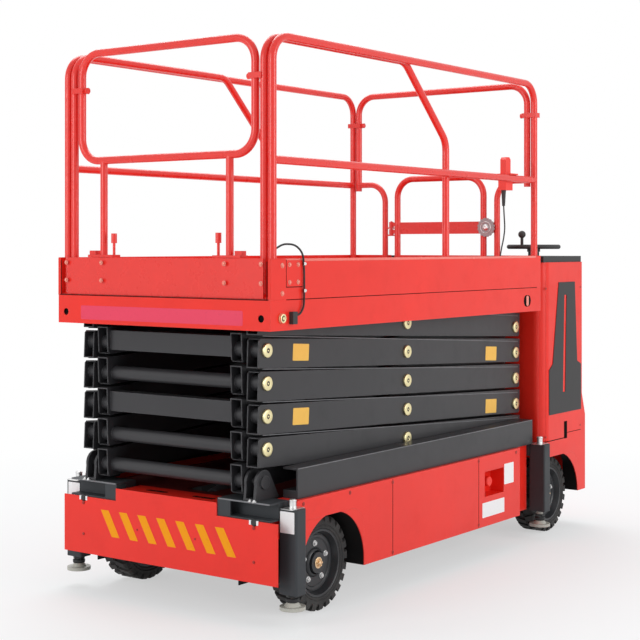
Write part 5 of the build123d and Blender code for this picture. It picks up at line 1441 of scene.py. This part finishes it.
# ---- console ---------------------------------------------------------------
@dataclass(frozen=True)
class Console:
    """Driving console over the steered wheels, with black side trims.

    The arch is its half width, its top, its corner radius, its near end and its foot, from the axle.
    """

    side_seams: tuple[Patch, ...] = (
        (0.250, 0.0045, 0.0005, 1.035, 0.495, 0),
        (0.036, 0.092, 0.0005, 1.162, 0.537, 0.002),
        (0.165, 0.0030, 0.0005, 1.262, 0.520, 0),
    )
    slot_size: Point = (0.036, 0.045, 0.0006)
    slot_place: tuple[float, float] = (-0.435, 0.739)
    screw: Outline = ((0.006, 0), (0.006, 0.0008), (0.003, 0.0016), (0, 0.0010))
    screw_spots: Outline = ((0.935, 0.52), (1.34, 0.545), (0.935, 1.30), (1.34, 1.30))
    corner: float = 0.060
    sheet: float = 0.006
    arch: tuple[float, float, float, float, float] = (0.2378, 0.4108, 0.090, -0.155, 0.1905)
    lining_y: float = 0.5905
    lining_depth: float = 0.085
    lining_thick: float = 0.0015

    def build(self) -> None:
        """Dress the console and add its seams, corners and painted-shade linings."""
        dress(RED, "console_body")
        dress(TRIM, "console_trim")
        dress(BLACK, "steering_wheel")
        body = Extent.of("console_body")
        self.seams(body)
        self.corners(body)
        self.linings()

    def seams(self, body: Extent) -> None:
        """Joint between the console's upper and lower covers, with its screws."""
        seams = Shape().patches(self.side_seams, body.high.y)
        seams.plate(*self.slot_size, facing((body.low.x, *self.slot_place), END_ON), 0.003)
        screws = Shape().heads(self.screw, self.screw_spots, body.high.y, 14)
        seams.build("console_seams", DARK, CHASSIS)
        # Painted shade: the screw heads in darkened red.
        screws.build("console_screws", SHADED_SCREW_RED, CHASSIS)

    def corners(self, body: Extent) -> None:
        """Round sheet corners between the console's near wall and its sides."""
        shape = Shape()
        for side in Side:
            centre = (body.low.x + self.corner, side.value * (body.high.y - self.corner), 0)
            outer = arc(0, 0, self.corner - 0.0001, 0, 90, 10)
            inner = arc(0, 0, self.corner - self.sheet, 0, 90, 10)
            outline = [(-y, side.value * x) for x, y in outer + inner[::-1]]
            shape.prism(outline, self.arch[1], body.high.z, facing(centre, UP))
        shape.build("console_corners", RED, CHASSIS)

    def linings(self) -> None:
        """Thin black linings that paint the shade inside the steered wheels' arches."""
        axle_x = Extent.of("tyre_steer_right").middle.x
        outline = self.arch_line(0) + self.arch_line(self.lining_thick)[::-1]
        lining = Shape()
        for side in Side:
            place = facing((axle_x, side.value * self.lining_y, 0), Side.RIGHT.out)
            lining.prism(outline, 0, side.value * self.lining_depth, place)
        lining.build("console_arch_shade_linings", SHADE_BLACK, CHASSIS)

    def arch_line(self, inset: float) -> list[tuple[float, float]]:
        """Far half of the arch's edge, from its top's near end down to its foot."""
        half, top, corner, near, foot = self.arch
        half, top = half - inset, top - inset
        bend = arc(half - corner, top - corner, corner, 90, -90, 8)
        return [(near, top)] + bend + [(half, foot)]


# ---- control cable ---------------------------------------------------------
@dataclass(frozen=True)
class ControlCable:
    """The hand control's cable, hanging from its gland to the toe board's socket."""

    diameter: float = 0.007
    length: float = 0.379
    route: tuple[Point, ...] = (
        (0.589, -0.5344, 1.7273),
        (0.595, -0.5344, 1.6713),
        (0.599, -0.5364, 1.6153),
        (0.583, -0.5374, 1.5593),
        (0.555, -0.5394, 1.5073),
        (0.527, -0.5464, 1.4553),
        (0.510, -0.5637, 1.4073),
        (0.508, -0.5657, 1.370),
    )

    def build(self) -> None:
        curve = bpy.data.curves.new("hand_control_cable", "CURVE")
        curve.dimensions = "3D"
        curve.bevel_depth = self.diameter / 2
        curve.bevel_resolution = 5
        curve.resolution_u = 8
        curve.use_fill_caps = True
        spline = curve.splines.new("NURBS")
        spline.points.add(len(self.route) - 1)
        for point, place in zip(spline.points, self.route):
            point.co = (*place, 1)
        spline.order_u = 3
        spline.use_endpoint_u = True
        piece = put("hand_control_cable", curve)
        curve.materials.append(HOSE.material())
        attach(piece, PLATFORM)
        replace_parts(piece, "control_cable")
        log.info("hand_control_cable on platform, %d control points", len(self.route))


def main() -> None:
    """Build the studio and every sub-assembly."""
    logging.basicConfig(level=logging.INFO, format="%(message)s")
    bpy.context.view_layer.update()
    Studio().build()
    ControlCable().build()
    for axle in Axle:
        for side in Side:
            Wheel(axle, side).build()
    for part in (Chassis(), Stabilisers(), ScissorPack(), Platform(), GuardRails(), Console()):
        part.build()
    bpy.context.view_layer.update()


if __name__ == "__main__":
    main()
